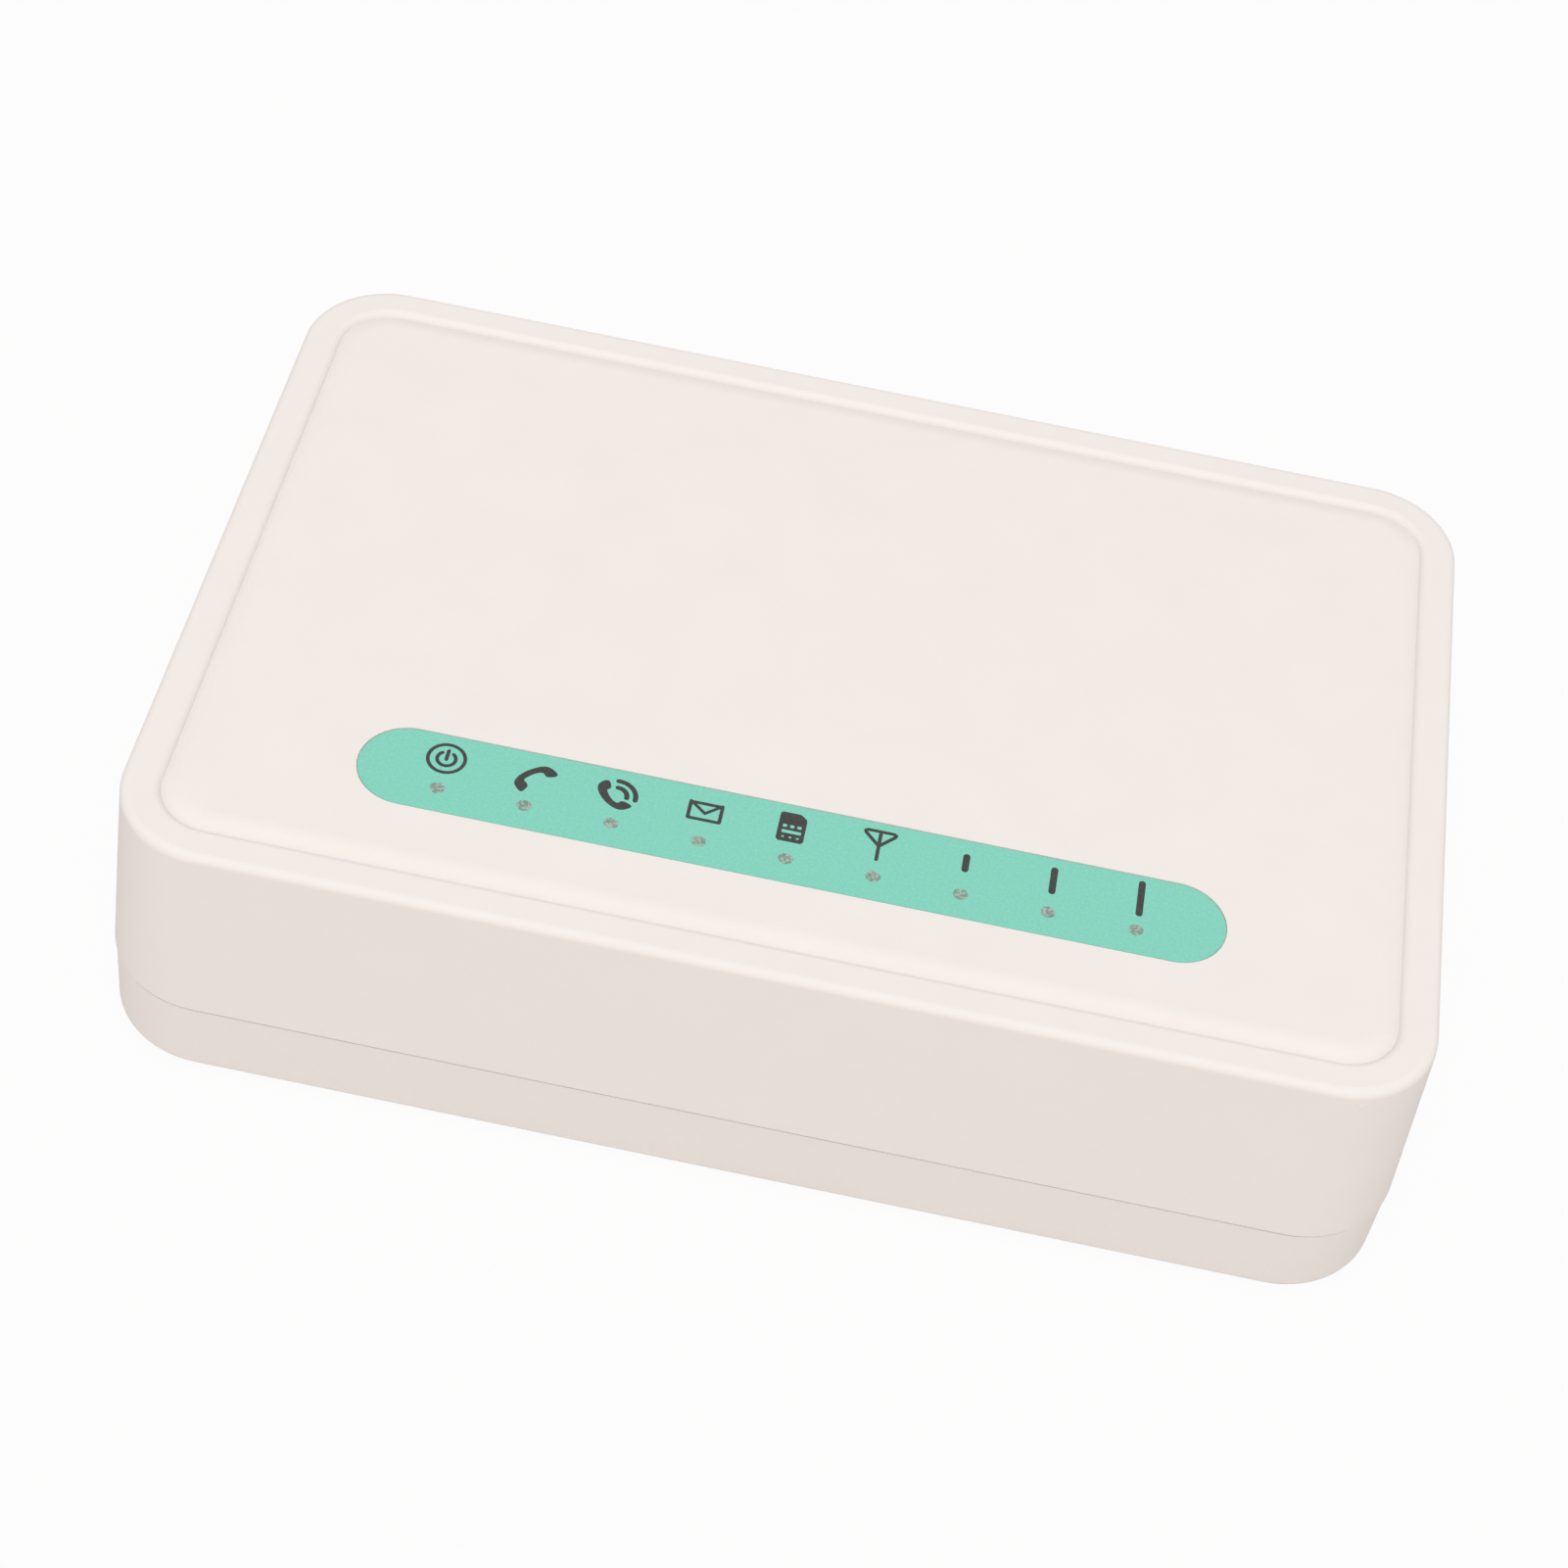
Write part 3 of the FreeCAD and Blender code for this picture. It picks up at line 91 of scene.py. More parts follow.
def place_of(tree, stretch=(1, 1, 1)):
    """Object coordinates in millimetres, stretched where a pattern runs one way."""
    place = add_node(tree, "ShaderNodeTexCoord").outputs["Object"]
    scale = tuple(s / MM for s in stretch)
    return add_node(tree, "ShaderNodeMapping", {"Vector": place}, Scale=scale).outputs["Vector"]


def grain(tree, where, size_mm, detail=2.0, roughness=0.5):
    """Noise whose lumps are about size_mm across."""
    return add_node(tree, "ShaderNodeTexNoise", {"Vector": where}, Scale=1 / size_mm, Detail=detail,
                    Roughness=roughness).outputs["Fac"]


def shade(tree, surface, fac, colours, stops=(0.35, 0.65)):
    """Base colour that runs between hex colours as fac rises."""
    ramp = add_node(tree, "ShaderNodeValToRGB", {"Fac": fac})
    ramp.color_ramp.elements[0].position = stops[0]
    ramp.color_ramp.elements[1].position = stops[-1]
    for stop in stops[1:-1]:
        ramp.color_ramp.elements.new(stop)
    for element, code in zip(ramp.color_ramp.elements, colours):
        element.color = linear(code)
    tree.links.new(ramp.outputs["Color"], surface.inputs["Base Color"])
    return ramp.outputs["Color"]


def gloss_range(tree, surface, fac, low, high):
    """Roughness that goes from low to high over the middle part of fac, where noise mostly stays."""
    spread = add_node(tree, "ShaderNodeMapRange", {"Value": fac}, From_Min=0.3, From_Max=0.7,
                      To_Min=low, To_Max=high)
    tree.links.new(spread.outputs["Result"], surface.inputs["Roughness"])


def relief(tree, surface, fac, height_mm):
    """Bump of a real height."""
    bump = add_node(tree, "ShaderNodeBump", {"Height": fac}, Strength=1.0, Distance=height_mm * MM)
    tree.links.new(bump.outputs["Normal"], surface.inputs["Normal"])


# Finishes

# The lid seen from above and the crease round it, in mm
LID_MIDDLE = (0.0, -4.18, 0.0)
LID_HALF_W, LID_HALF_D = 74.5, 49.7
LID_CORNER = 11.0
CREASE_INSET = 4.6
CREASE_LOW = 35.2
# Painted shade along the foot of the crease: full up to the first of these widths from it and gone by the
# second, in mm
CREASE_SHADE_FULL, CREASE_SHADE_END = 0.15, 0.6


def painted_crease_shade_mask(tree, where):
    """Mask for painted shade: 1 along the foot of the crease and 0 beyond the outer of the shade's two widths
    beside it: first how far a point lies past the straight middles of the lid's sides, then how far that is
    from the crease's own corner radius."""
    core = (LID_HALF_W - LID_CORNER, LID_HALF_D - LID_CORNER, 0.0)
    crease_corner = LID_CORNER - CREASE_INSET
    on_vectors, on_numbers = "ShaderNodeVectorMath", "ShaderNodeMath"
    spot = add_node(tree, on_vectors, {0: where, 1: LID_MIDDLE}, operation="SUBTRACT").outputs["Vector"]
    spot = add_node(tree, on_vectors, {0: spot}, operation="ABSOLUTE").outputs["Vector"]
    for operation, amount in (("SUBTRACT", core), ("MAXIMUM", (0, 0, 0)), ("MULTIPLY", (1, 1, 0))):
        spot = add_node(tree, on_vectors, {0: spot, 1: amount}, operation=operation).outputs["Vector"]
    reach = add_node(tree, on_vectors, {0: spot}, operation="LENGTH").outputs["Value"]
    aside = add_node(tree, on_numbers, {0: reach, 1: crease_corner}, operation="SUBTRACT").outputs["Value"]
    gap = add_node(tree, on_numbers, {0: aside}, operation="ABSOLUTE").outputs["Value"]
    near = add_node(tree, "ShaderNodeMapRange", {"Value": gap}, From_Min=CREASE_SHADE_FULL, From_Max=CREASE_SHADE_END,
                    To_Min=1.0, To_Max=0.0).outputs["Result"]
    height = add_node(tree, "ShaderNodeSeparateXYZ", {"Vector": where}).outputs["Z"]
    on_lid = add_node(tree, on_numbers, {0: height, 1: CREASE_LOW}, operation="GREATER_THAN").outputs["Value"]
    return add_node(tree, on_numbers, {0: near, 1: on_lid}, operation="MULTIPLY").outputs["Value"]


def moulded_abs():
    """Off-white ABS from a spark-eroded mould: matt, dry to the eye, a weak wide sheen and no clear
    reflection. The real grit is about 0.1 mm; it is drawn at 0.3 mm because finer doesn't show. Painted
    shade: along the foot of the crease the base colour turns slightly darker and greyer, so the shade there
    reads darker and less warm."""
    material, tree, surface = finish_of("moulded_abs_warm_white", "F1E9E3", 0.68, IOR=1.54,
                                        Specular_IOR_Level=0.3)
    where = place_of(tree)
    plain = shade(tree, surface, grain(tree, where, 9.0, 4.0), ("F0E8E2", "F2EAE4"), (0.25, 0.75))
    # Painted shade: a slightly darker, greyer base colour is mixed in along the foot of the crease
    crease_shaded = add_node(tree, "ShaderNodeMixRGB", {"Fac": painted_crease_shade_mask(tree, where), "Color1": plain},
                      Color2=linear("EDE7E3"))
    tree.links.new(crease_shaded.outputs["Color"], surface.inputs["Base Color"])
    gloss_range(tree, surface, grain(tree, where, 0.9, 3.0), 0.62, 0.74)
    relief(tree, surface, grain(tree, where, 0.3, 2.0, 0.6), 0.012)
    return material


def printed_polyester():
    """Teal ink behind a fine-matt polyester film: even colour with the screen's faint 0.35 mm grain."""
    material, tree, surface = finish_of("printed_polyester_teal", "82D1BC", 0.45, IOR=1.6,
                                        Specular_IOR_Level=0.3)
    where = place_of(tree)
    shade(tree, surface, grain(tree, where, 0.35, 3.0, 0.7), ("7ACBB5", "82D1BC", "8AD7C3"), (0.3, 0.5, 0.7))
    relief(tree, surface, grain(tree, where, 0.25, 1.0), 0.004)
    return material


def screen_ink():
    """Warm black screen-printed ink, matt, with slight pinholes in the solid areas."""
    material, tree, surface = finish_of("screen_printed_ink", "3F403E", 0.6, IOR=1.5, Specular_IOR_Level=0.3)
    where = place_of(tree)
    shade(tree, surface, grain(tree, where, 0.22, 2.0), ("393A38", "4A4B48"), (0.4, 0.72))
    relief(tree, surface, grain(tree, where, 0.12, 1.0), 0.004)
    return material


def frosted_window():
    """Clear window in the film, frosted with a coarse stipple that scatters the lamp below it."""
    material, tree, surface = finish_of("frosted_polyester_window", "88A294", 0.5, IOR=1.6)
    where = place_of(tree)
    shade(tree, surface, grain(tree, where, 0.3, 1.0, 0.4), ("728C7F", "879F93", "A8BAAB"), (0.36, 0.5, 0.66))
    relief(tree, surface, grain(tree, where, 0.2, 1.0), 0.02)
    return material


def clear_acrylic():
    """Moulded PMMA light guide: clear with a faint flow haze."""
    material, tree, surface = finish_of("moulded_clear_acrylic", "E4EEEA", 0.12, IOR=1.49,
                                        Transmission_Weight=0.9)
    gloss_range(tree, surface, grain(tree, place_of(tree), 2.0, 2.0), 0.08, 0.2)
    return material


def lamp_resin():
    """Small white-bodied lamp with a yellowish phosphor window."""
    material, tree, surface = finish_of("cast_lamp_resin", "EFE9CF", 0.35, IOR=1.5)
    shade(tree, surface, grain(tree, place_of(tree), 0.5, 1.0), ("E8E1BC", "F3EFDF"))
    return material


def board_laminate():
    """Glass-cloth board under green solder mask: semi-gloss with a 0.8 mm weave showing through."""
    material, tree, surface = finish_of("solder_masked_glass_laminate", "1F6B43", 0.35, IOR=1.55)
    where = place_of(tree)
    across, along = (add_node(tree, "ShaderNodeTexWave", {"Vector": where}, bands_direction=way, Scale=1.25,
                              Distortion=0.4).outputs["Fac"] for way in ("X", "Y"))
    weave = add_node(tree, "ShaderNodeMath", {0: across, 1: along}, operation="MULTIPLY").outputs["Value"]
    shade(tree, surface, weave, ("1A5E3A", "26774D"), (0.1, 0.9))
    relief(tree, surface, weave, 0.006)
    return material


def tinned_sheet():
    """Bright tinned steel sheet: rolled lines along X and soft blotches of the tin."""
    material, tree, surface = finish_of("rolled_tinned_steel", "C9C8C4", 0.3, Metallic=1.0)
    where = place_of(tree, (0.06, 1, 1))
    shade(tree, surface, grain(tree, place_of(tree), 3.0, 3.0), ("BDBCB8", "D4D3CF"))
    gloss_range(tree, surface, grain(tree, where, 0.15, 2.0), 0.22, 0.42)
    relief(tree, surface, grain(tree, where, 0.15, 2.0), 0.003)
    return material


def black_pbt():
    """Black glass-filled PBT as sockets are moulded in: satin, with fibre flow near the surface."""
    material, tree, surface = finish_of("moulded_black_pbt", "1E1E20", 0.42, IOR=1.55)
    where = place_of(tree, (1, 0.35, 1))
    shade(tree, surface, grain(tree, where, 0.7, 3.0), ("19191B", "26262A"))
    gloss_range(tree, surface, grain(tree, where, 0.4, 2.0), 0.34, 0.52)
    relief(tree, surface, grain(tree, where, 0.25, 2.0), 0.006)
    return material


def chip_epoxy():
    """Transfer-moulded epoxy chip body: dull charcoal with 0.1 mm filler grain, drawn at 0.2 mm."""
    material, tree, surface = finish_of("moulded_chip_epoxy", "2B2C2E", 0.6, IOR=1.55)
    where = place_of(tree)
    shade(tree, surface, grain(tree, where, 0.4, 2.0), ("252628", "333437"))
    relief(tree, surface, grain(tree, where, 0.2, 1.0), 0.006)
    return material


def gold_plate():
    """Thin gold plating on turned brass: warm, with fine turning marks across the axis."""
    material, tree, surface = finish_of("gold_plated_turned_brass", "DDB565", 0.25, Metallic=1.0)
    rings = place_of(tree, (0.05, 1, 0.05))
    shade(tree, surface, grain(tree, place_of(tree), 2.5, 2.0), ("D3A956", "E6C27A"))
    gloss_range(tree, surface, grain(tree, rings, 0.12, 2.0), 0.18, 0.34)
    relief(tree, surface, grain(tree, rings, 0.12, 2.0), 0.003)
    return material


def nickel_plate():
    """Nickel-plated brass contact: cool and bright with light wipe marks along Y."""
    material, tree, surface = finish_of("nickel_plated_brass", "BDB9B0", 0.25, Metallic=1.0)
    wiped = place_of(tree, (1, 0.08, 1))
    shade(tree, surface, grain(tree, place_of(tree), 2.0, 2.0), ("B0ACA3", "C9C5BD"))
    gloss_range(tree, surface, grain(tree, wiped, 0.15, 2.0), 0.18, 0.36)
    return material


def sintered_ferrite():
    """Pressed and sintered ferrite: dense matt dark grey with fine pores."""
    material, tree, surface = finish_of("sintered_ferrite", "3A3A3B", 0.7, IOR=1.9)
    where = place_of(tree)
    shade(tree, surface, grain(tree, where, 0.5, 3.0), ("313132", "444446"))
    relief(tree, surface, grain(tree, where, 0.3, 3.0, 0.7), 0.02)
    return material


def drawn_can():
    """Drawn aluminium can in its lacquer: pale with vertical draw lines."""
    material, tree, surface = finish_of("drawn_aluminium_can", "C8CACC", 0.35, Metallic=0.9)
    drawn = place_of(tree, (1, 1, 0.05))
    shade(tree, surface, grain(tree, drawn, 0.4, 2.0), ("BBBDBF", "D2D4D6"))
    gloss_range(tree, surface, grain(tree, drawn, 0.25, 2.0), 0.28, 0.45)
    return material


def turned_ptfe():
    """Turned PTFE: waxy translucent white with faint tool rings."""
    material, tree, surface = finish_of("turned_ptfe", "EFEFEA", 0.45, IOR=1.35)
    rings = place_of(tree, (1, 0.05, 1))
    shade(tree, surface, grain(tree, rings, 0.3, 2.0), ("E8E8E2", "F4F4F0"))
    relief(tree, surface, grain(tree, rings, 0.2, 2.0), 0.006)
    return material


def zinc_screw():
    """Zinc-plated screw steel: blue-grey bright with a slight passivation bloom."""
    material, tree, surface = finish_of("zinc_plated_screw_steel", "A9AEB4", 0.32, Metallic=1.0)
    where = place_of(tree)
    shade(tree, surface, grain(tree, where, 1.2, 3.0), ("9BA1A8", "B8BCBF"))
    gloss_range(tree, surface, grain(tree, where, 0.5, 2.0), 0.24, 0.42)
    return material


def moulded_rubber():
    """Grey thermoplastic rubber foot: dead matt, finely stippled to grip the table."""
    material, tree, surface = finish_of("moulded_foot_rubber", "4B4A49", 0.85, IOR=1.5)
    where = place_of(tree)
    shade(tree, surface, grain(tree, where, 1.5, 3.0), ("434241", "545352"))
    relief(tree, surface, grain(tree, where, 0.35, 2.0), 0.03)
    return material


def cell_wrap():
    """Heat-shrunk PVC wrap of the battery: dark blue, semi-gloss, with slack ripples 3 mm apart."""
    material, tree, surface = finish_of("heat_shrunk_pvc_wrap", "2C4B7C", 0.3, IOR=1.54)
    where = place_of(tree, (1, 0.4, 1))
    shade(tree, surface, grain(tree, where, 4.0, 2.0), ("27436F", "335489"))
    relief(tree, surface, grain(tree, where, 3.0, 2.0), 0.08)
    return material


slot_finish = {
    "shell_plastic": moulded_abs(),
    "label_film": printed_polyester(),
    "clear_acrylic": clear_acrylic(),
    "lamp": lamp_resin(),
    "board_laminate": board_laminate(),
    "tinned_steel": tinned_sheet(),
    "black_plastic": black_pbt(),
    "chip_plastic": chip_epoxy(),
    "gold_contact": gold_plate(),
    "nickel_contact": nickel_plate(),
    "ferrite": sintered_ferrite(),
    "can_metal": drawn_can(),
    "ptfe": turned_ptfe(),
    "zinc_screw": zinc_screw(),
    "rubber": moulded_rubber(),
    "cell_wrap": cell_wrap(),
}
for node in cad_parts.values():
    for slot in node.material_slots:
        slot.material = slot_finish[slot.material.name.split(".")[0]]


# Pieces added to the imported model

def to_piece(name, mesh, material, body=CASE, smooth_angle=None):
    """Makes mesh a piece of the part that moves with its body."""
    piece = bpy.data.objects.new(name, mesh)
    bpy.context.scene.collection.objects.link(piece)
    mesh.materials.append(material)
    if smooth_angle is not None:
        mesh.shade_smooth()
        mesh.set_sharp_from_angle(angle=math.radians(smooth_angle))
    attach(piece, body)
    return piece


def layer_mesh(name, areas, low, high, overprint=0.0):
    """Closed flat layer between two heights in metres; each area is an outline and then its holes, in
    mm. Areas that cross need overprint: each one then stands that much higher than the one before."""
    bm = bmesh.new()
    for number, loops in enumerate(areas):
        top = high + number * overprint
        rings = [[[bm.verts.new((x * MM, y * MM, z)) for z in (low, top)] for x, y in loop] for loop in loops]
        flat = [pair for ring in rings for pair in ring]
        for a, b, c in tessellate_polygon([[Vector((x, y, 0)) for x, y in loop] for loop in loops]):
            bm.faces.new([flat[i][0] for i in (a, b, c)])
            bm.faces.new([flat[i][1] for i in (c, b, a)])
        for ring in rings:
            for here, there in zip(ring, ring[1:] + ring[:1]):
                bm.faces.new([here[0], there[0], there[1], here[1]])
    bmesh.ops.recalc_face_normals(bm, faces=bm.faces)
    mesh = bpy.data.meshes.new(name)
    bm.to_mesh(mesh)
    bm.free()
    return mesh


def arc(x, y, r, start, end, steps=32):
    """Points of an arc, in degrees."""
    turns = [math.radians(start + (end - start) * i / steps) for i in range(steps + 1)]
    return [(x + r * math.cos(t), y + r * math.sin(t)) for t in turns]


def circle(x, y, r, corners=72):
    """Points of a whole circle."""
    return arc(x, y, r, 0, 360 - 360 / corners, corners - 1)


def ring(x, y, r, width):
    """Outline and hole of a printed ring."""
    return [circle(x, y, r + width / 2), circle(x, y, r - width / 2)]


def stroke(points, width, end_steps=10, sharpest=0.4):
    """Outline of a line of even width with round ends; sharpest keeps the joints from spiking."""
    half = width / 2
    headings = [math.atan2(b[1] - a[1], b[0] - a[0]) for a, b in zip(points, points[1:])]
    left, right = [], []
    for i, (x, y) in enumerate(points):
        before = headings[max(i - 1, 0)]
        after = headings[min(i, len(headings) - 1)]
        turn = (after - before + math.pi) % (2 * math.pi) - math.pi
        middle = before + turn / 2
        reach = half / max(math.cos(turn / 2), sharpest)
        left.append((x - reach * math.sin(middle), y + reach * math.cos(middle)))
        right.append((x + reach * math.sin(middle), y - reach * math.cos(middle)))
    first, last = math.degrees(headings[0]), math.degrees(headings[-1])
    start = arc(*points[0], half, first + 90, first + 270, end_steps)[1:-1]
    end = arc(*points[-1], half, last - 90, last + 90, end_steps)[1:-1]
    return [right + end + left[::-1] + start]


def smooth_loop(points, steps=5):
    """Closed curve through the points."""
    out = []
    count = len(points)
    for i in range(count):
        p0, p1, p2, p3 = (Vector(points[(i + k) % count]) for k in (-1, 0, 1, 2))
        for s in range(steps):
            t = s / steps
            spot = 0.5 * (2 * p1 + (p2 - p0) * t + (2 * p0 - 5 * p1 + 4 * p2 - p3) * t ** 2
                          + (3 * p1 - p0 - 3 * p2 + p3) * t ** 3)
            out.append((spot.x, spot.y))
    return out


def rounded(x0, x1, y0, y1, r, steps=4):
    """Outline of a rectangle with rounded corners."""
    out = []
    left, right, low, high = x0 + r, x1 - r, y0 + r, y1 - r
    for x, y, start in ((right, high, 0), (left, high, 90), (left, low, 180), (right, low, 270)):
        out += arc(x, y, r, start, start + 90, steps)
    return out


# Symbols printed on the indicator film, in mm: line widths, then how deep the ink bites into the
# film, how high it stands and how much higher each stroke stands than the one before
LINE = 0.42
ARC_LINE = 0.58
FLAP_LINE = LINE * 0.9
BAR_W = 0.8
INK_BITE, INK_RISE, OVERPRINT = 0.005, 0.02, 0.003
film_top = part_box("indicator_label")[1].z

handset = [(-32.08, -33.49), (-31.83, -32.72), (-31.35, -32.01), (-30.72, -31.39), (-30.01, -30.86),
           (-29.4, -30.55), (-28.92, -30.48), (-28.38, -30.62), (-27.88, -30.96), (-27.56, -31.34),
           (-27.7, -31.68), (-28.18, -31.89), (-28.6, -31.97), (-28.88, -31.84), (-29.1, -31.58),
           (-29.37, -31.51), (-29.87, -31.72), (-30.46, -32.19), (-30.95, -32.78), (-31.06, -33.05),
           (-30.97, -33.26), (-30.74, -33.44), (-30.54, -33.74), (-30.56, -34.12), (-30.77, -34.6),
           (-31.04, -34.86), (-31.34, -34.77), (-31.75, -34.35), (-32.02, -33.92)]
ringing = [(-21.8, -30.63), (-22.22, -30.73), (-22.63, -31.17), (-22.81, -31.7), (-22.68, -32.32),
           (-22.25, -33.09), (-21.58, -33.8), (-20.86, -34.31), (-20.12, -34.6), (-19.6, -34.6),
           (-19.1, -34.41), (-18.66, -34.07), (-18.54, -33.8), (-18.76, -33.58), (-19.24, -33.37),
           (-19.66, -33.33), (-19.94, -33.46), (-20.11, -33.67), (-20.37, -33.65), (-20.8, -33.39),
           (-21.28, -32.82), (-21.6, -32.27), (-21.65, -32.01), (-21.52, -31.89), (-21.32, -31.62),
           (-21.38, -31.28), (-21.56, -30.84)]
card = [(-1.62, -29.95), (0.32, -29.95), (0.6, -30.06), (1.16, -30.54), (1.28, -30.82), (1.28, -33.99),
        (1.0, -34.3), (-1.6, -34.3), (-1.89, -34.02), (-1.86, -30.2)]
columns = (-1.12, -0.28, 0.56)
card_windows = [rounded(x - 0.24, x + 0.24, -32.2, -31.75, 0.08) for x in columns]
card_windows += [rounded(-1.38, 0.86, -33.06, -32.58, 0.08)]
card_windows += [rounded(x - 0.16, x + 0.16, -33.76, -33.5, 0.06) for x in columns]
power_x = -40.25
ear = (-20.53, -32.68)
mail_left, mail_right, mail_low, mail_high = -12.1, -8.45, -33.85, -31.0
flap = [(mail_left, -31.1), (-10.27, -32.65), (mail_right, -31.1)]
mast_x, mast_top = 9.73, -30.05
fan = [(mast_x, -32.25), (8.05, -30.5), (7.98, -30.22), (8.22, mast_top), (11.24, mast_top),
       (11.48, -30.22), (11.41, -30.5), (mast_x, -32.25)]
symbols = {
    "symbol_power": [ring(power_x, -32.28, 2.12, LINE),
                     stroke(arc(power_x, -32.32, 1.06, 127, 413, 40), LINE),
                     stroke([(power_x, -31.05), (power_x, -32.42)], LINE)],
    "symbol_line": [[smooth_loop(handset)]],
    "symbol_ringing": [[smooth_loop(ringing)], stroke(arc(*ear, 2.24, 93, -4, 30), ARC_LINE),
                       stroke(arc(*ear, 1.24, 90, -2, 24), ARC_LINE)],
    "symbol_message": [[rounded(mail_left - LINE / 2, mail_right + LINE / 2, mail_low, mail_high, 0.3),
                        rounded(mail_left + LINE / 2, mail_right - LINE / 2, mail_low + LINE,
                                mail_high - LINE, 0.12)],
                       stroke(flap, FLAP_LINE)],
    "symbol_card": [[card] + card_windows],
    "symbol_aerial": [stroke(fan, LINE), stroke([(mast_x, mast_top), (mast_x, -34.3)], LINE)],
}
signal_bars = ((19.77, -30.77, -33.49), (29.83, -30.11, -34.13), (39.88, -29.49, -34.79))
for number, (x, top, bottom) in enumerate(signal_bars, 1):
    symbols[f"symbol_signal_{number}"] = [stroke([(x, top - BAR_W / 2), (x, bottom + BAR_W / 2)], BAR_W)]
ink = screen_ink()
for name, areas in symbols.items():
    printed = layer_mesh(name, areas, film_top - INK_BITE * MM, film_top + INK_RISE * MM,
                         overprint=OVERPRINT * MM)
    to_piece(name, printed, ink)


# Aerial socket with its real thread

def turned_mesh(name, rows, steps=64):
    """Hollow skin turned about Z, in mm; a row is a height and a radius, or a function that gives
    the radius at a turn, and the last row joins up with the first."""
    bm = bmesh.new()
    turns = [2 * math.pi * i / steps for i in range(steps)]
    rings = []
    for z, r in rows:
        reach = [r(turn) if callable(r) else r for turn in turns]
        rings.append([bm.verts.new((far * math.cos(turn) * MM, far * math.sin(turn) * MM, z * MM))
                      for far, turn in zip(reach, turns)])
    for low, high in zip(rings, rings[1:] + rings[:1]):
        for i in range(steps):
            j = (i + 1) % steps
            bm.faces.new([low[i], low[j], high[j], high[i]])
    bmesh.ops.recalc_face_normals(bm, faces=bm.faces)
    mesh = bpy.data.meshes.new(name)
    bm.to_mesh(mesh)
    bm.free()
    return mesh


def thread_rows(start, end, root, crest, pitch, chamfer, samples=12, crest_flat=1.35, steepness=2.9):
    """Rows of a vee thread that runs out in a chamfer at its end. With the last two values a quarter
    of the pitch is flat crest and a fourteenth of it is flat root."""
    rows = []
    count = round((end - start) / pitch * samples)
    for i in range(count + 1):
        z = start + (end - start) * i / count

        def radius(turn, z=z):
            phase = (z / pitch - turn / (2 * math.pi)) % 1
            ridge = min(1, max(0, crest_flat - steepness * abs(phase - 0.5)))
            lead_in = min(1, (z - start) / (pitch / 2))
            return min(root + (crest - root) * ridge * lead_in, crest - chamfer + end - z)

        rows.append((z, radius))
    return rows


def threaded_socket():
    """Coaxial aerial socket: block, collar and a barrel with 36 threads to the inch, in mm."""
    crest, root, relief_r, bore_r, core_r, core_wall, collar_r = 3.175, 2.8, 2.85, 2.3, 2.07, 0.5, 4.4
    pitch, relief_w, chamfer, bore_d = 25.4 / 36, 0.6, 0.3, 1.95
    block_w, block_d, block_wall, block_rise, collar_d = 7.4, 7.0, 1.5, 0.4, 1.5
    low, high = (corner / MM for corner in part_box("aerial_socket"))
    nut_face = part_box("aerial_nut")[1].y / MM
    axis_x = (low.x + high.x) / 2
    axis_z = high.z - collar_r
    core_start, block_rear, end = low.y + block_wall, low.y + block_d, high.y
    shoulder = block_rear + collar_d
    rows = [(core_start, core_r), (end - bore_d, core_r), (end - bore_d, bore_r), (end, bore_r)]
    rows += reversed(thread_rows(nut_face + relief_w, end, root, crest, pitch, chamfer))
    rows += [(nut_face + relief_w, relief_r), (nut_face, relief_r), (nut_face, crest), (shoulder, crest),
             (shoulder, collar_r), (block_rear, collar_r), (block_rear, core_r + core_wall),
             (core_start, core_r + core_wall)]
    turned = turned_mesh("aerial_socket_turned", rows)
    # A local Y points down once the meshes are laid along the aerial's axis.
    half, top, foot_y = block_w / 2, -(crest + block_rise), axis_z - low.z
    block = [(-half, top), (half, top), (half, foot_y), (-half, foot_y)]
    hole = circle(0, 0, core_r + core_wall)
    closed = layer_mesh("aerial_block", [[block]], low.y * MM, core_start * MM)
    sleeve = layer_mesh("aerial_sleeve", [[block, hole]], core_start * MM, block_rear * MM)
    bm = bmesh.new()
    for mesh in (turned, closed, sleeve):
        bm.from_mesh(mesh)
    bmesh.ops.rotate(bm, verts=bm.verts, matrix=Matrix.Rotation(math.radians(-90), 3, "X"))
    bmesh.ops.translate(bm, verts=bm.verts, vec=Vector((axis_x, 0, axis_z)) * MM)
    bmesh.ops.recalc_face_normals(bm, faces=bm.faces)
    whole = bpy.data.meshes.new("aerial_socket_threaded")
    bm.to_mesh(whole)
    bm.free()
    socket = to_piece("aerial_socket_threaded", whole, slot_finish["gold_contact"],
                      smooth_angle=24)
    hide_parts("aerial_socket")


threaded_socket()

# Frosted windows: dots of clear lacquer over the film's holes, a little wider than high, in mm
WINDOWS = 9
WINDOW_PITCH = 10.0
WINDOW_MIDDLE = (-0.25, -36.85)
WINDOW_HALF_W = 0.86
WINDOW_HALF_H = 0.79
WINDOW_CORNERS = 36
LACQUER_BITE, LACQUER_RISE = 0.005, 0.01
window_dots = []
for number in range(WINDOWS):
    middle = WINDOW_MIDDLE[0] + WINDOW_PITCH * (number - (WINDOWS - 1) / 2)
    window_dots.append([[(middle + WINDOW_HALF_W * x, WINDOW_MIDDLE[1] + WINDOW_HALF_H * y)
                         for x, y in circle(0, 0, 1, WINDOW_CORNERS)]])
lacquer = layer_mesh("frosted_windows", window_dots, film_top - LACQUER_BITE * MM,
                     film_top + LACQUER_RISE * MM)
to_piece("frosted_windows", lacquer, frosted_window())


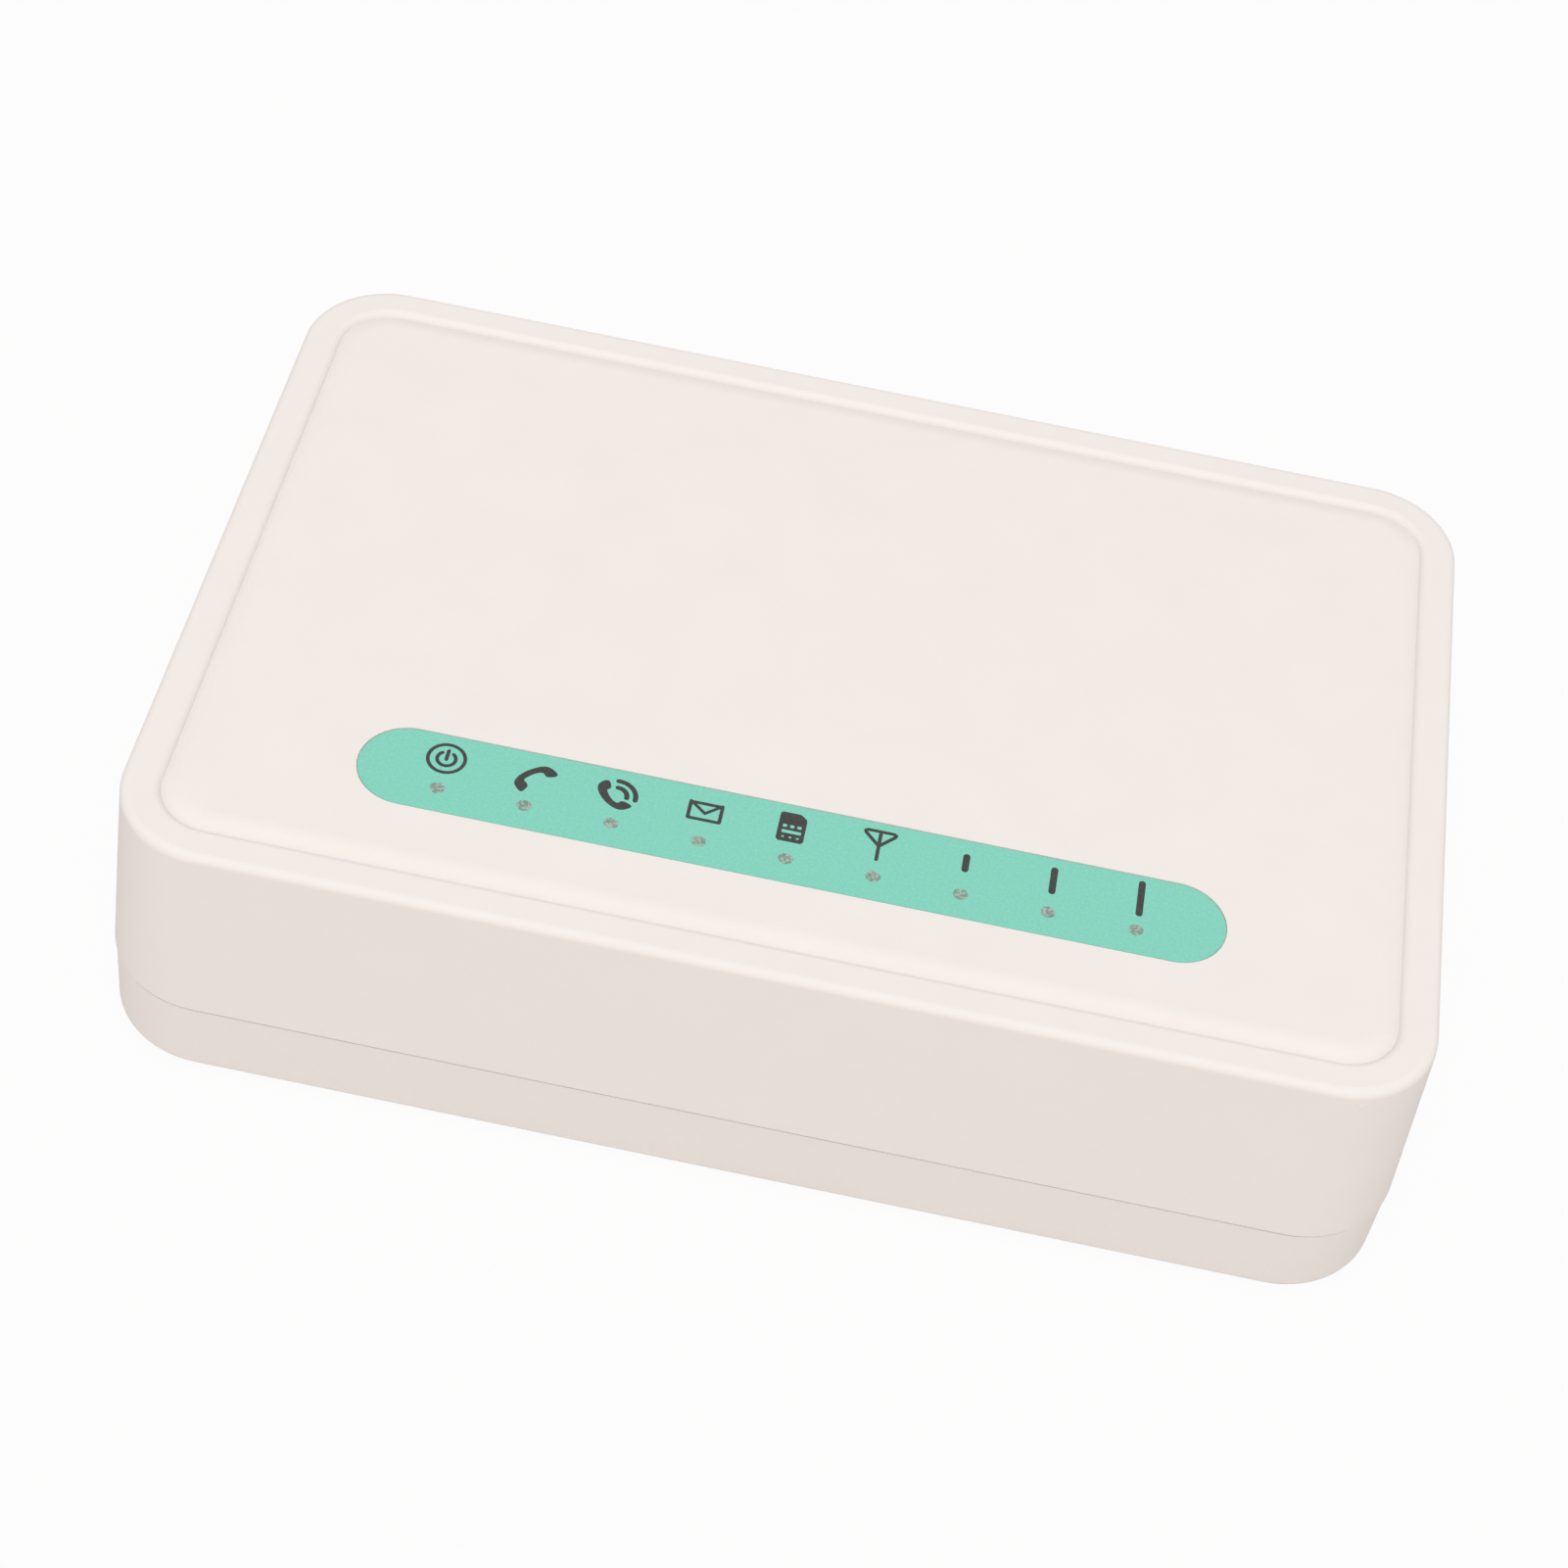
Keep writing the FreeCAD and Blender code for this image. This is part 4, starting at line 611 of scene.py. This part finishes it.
# Room, lamp and camera, in metres. The camera sees FLOOR_GLOW of plain white and the rest of shaded
# paper, and AMBIENT is the room's even light on the object.
FLOOR_SIZE = 6.0
FLOOR_GLOW = 0.94
AMBIENT = 0.728
KEY_POWER = 58.0
KEY_SIZE = 2.4
KEY_PLACE = (0.0, -2.226, 3.259)
LAMP_AIM = (0, 0, 0.02)
LENS_MM = 73.596
SENSOR_MM = 36.0
CAMERA_NEAR = 0.01
CAMERA_PLACE = (0.006523, -0.272445, 0.308057)
CAMERA_TURN = (0.7299468, -0.1166222, 0.1649172)


def studio_floor():
    """Matt pale paper sweep; to the camera it reads nearly white and still keeps the shadow."""
    material, tree, surface = finish_of("matt_white_paper", "D0CDCA", 0.9, Specular_IOR_Level=0.0)
    seen = add_node(tree, "ShaderNodeLightPath").outputs["Is Camera Ray"]
    share = add_node(tree, "ShaderNodeMath", {0: seen, 1: FLOOR_GLOW}, operation="MULTIPLY").outputs["Value"]
    white = add_node(tree, "ShaderNodeEmission", Strength=1.0).outputs["Emission"]
    mixed = add_node(tree, "ShaderNodeMixShader", {0: share, 1: surface.outputs["BSDF"], 2: white})
    tree.links.new(mixed.outputs["Shader"], tree.nodes["Material Output"].inputs["Surface"])
    return material


bpy.ops.mesh.primitive_plane_add(size=FLOOR_SIZE, location=(0, 0, 0))
floor = bpy.context.object
floor.name = "studio_floor"
floor.data.materials.append(studio_floor())

world = bpy.data.worlds.new("studio")
bpy.context.scene.world = world
world.use_nodes = True
tree = world.node_tree
rays = add_node(tree, "ShaderNodeLightPath").outputs
seen = rays["Is Camera Ray"]
for kind in ("Is Glossy Ray", "Is Transmission Ray"):
    seen = add_node(tree, "ShaderNodeMath", {0: seen, 1: rays[kind]}, operation="MAXIMUM").outputs["Value"]
level = add_node(tree, "ShaderNodeMapRange", {"Value": seen}, To_Min=AMBIENT, To_Max=1.0).outputs["Result"]
backdrop = tree.nodes["Background"]
backdrop.inputs["Color"].default_value = (1, 1, 1, 1)
tree.links.new(level, backdrop.inputs["Strength"])


def softbox(name, power, size, place):
    """Square soft lamp that faces the middle of the object."""
    lamp = bpy.data.lights.new(name, "AREA")
    lamp.energy = power
    lamp.size = size
    stand = bpy.data.objects.new(name, lamp)
    bpy.context.scene.collection.objects.link(stand)
    stand.location = place
    stand.rotation_euler = (Vector(LAMP_AIM) - Vector(place)).to_track_quat("-Z", "Y").to_euler()


softbox("key_softbox", KEY_POWER, KEY_SIZE, KEY_PLACE)

camera = bpy.data.cameras.new("product_camera")
camera.lens = LENS_MM
camera.sensor_width = SENSOR_MM
camera.clip_start = CAMERA_NEAR
tripod = bpy.data.objects.new("product_camera", camera)
bpy.context.scene.collection.objects.link(tripod)
tripod.location = CAMERA_PLACE
tripod.rotation_euler = CAMERA_TURN
bpy.context.scene.camera = tripod
bpy.context.scene.view_settings.view_transform = "Standard"
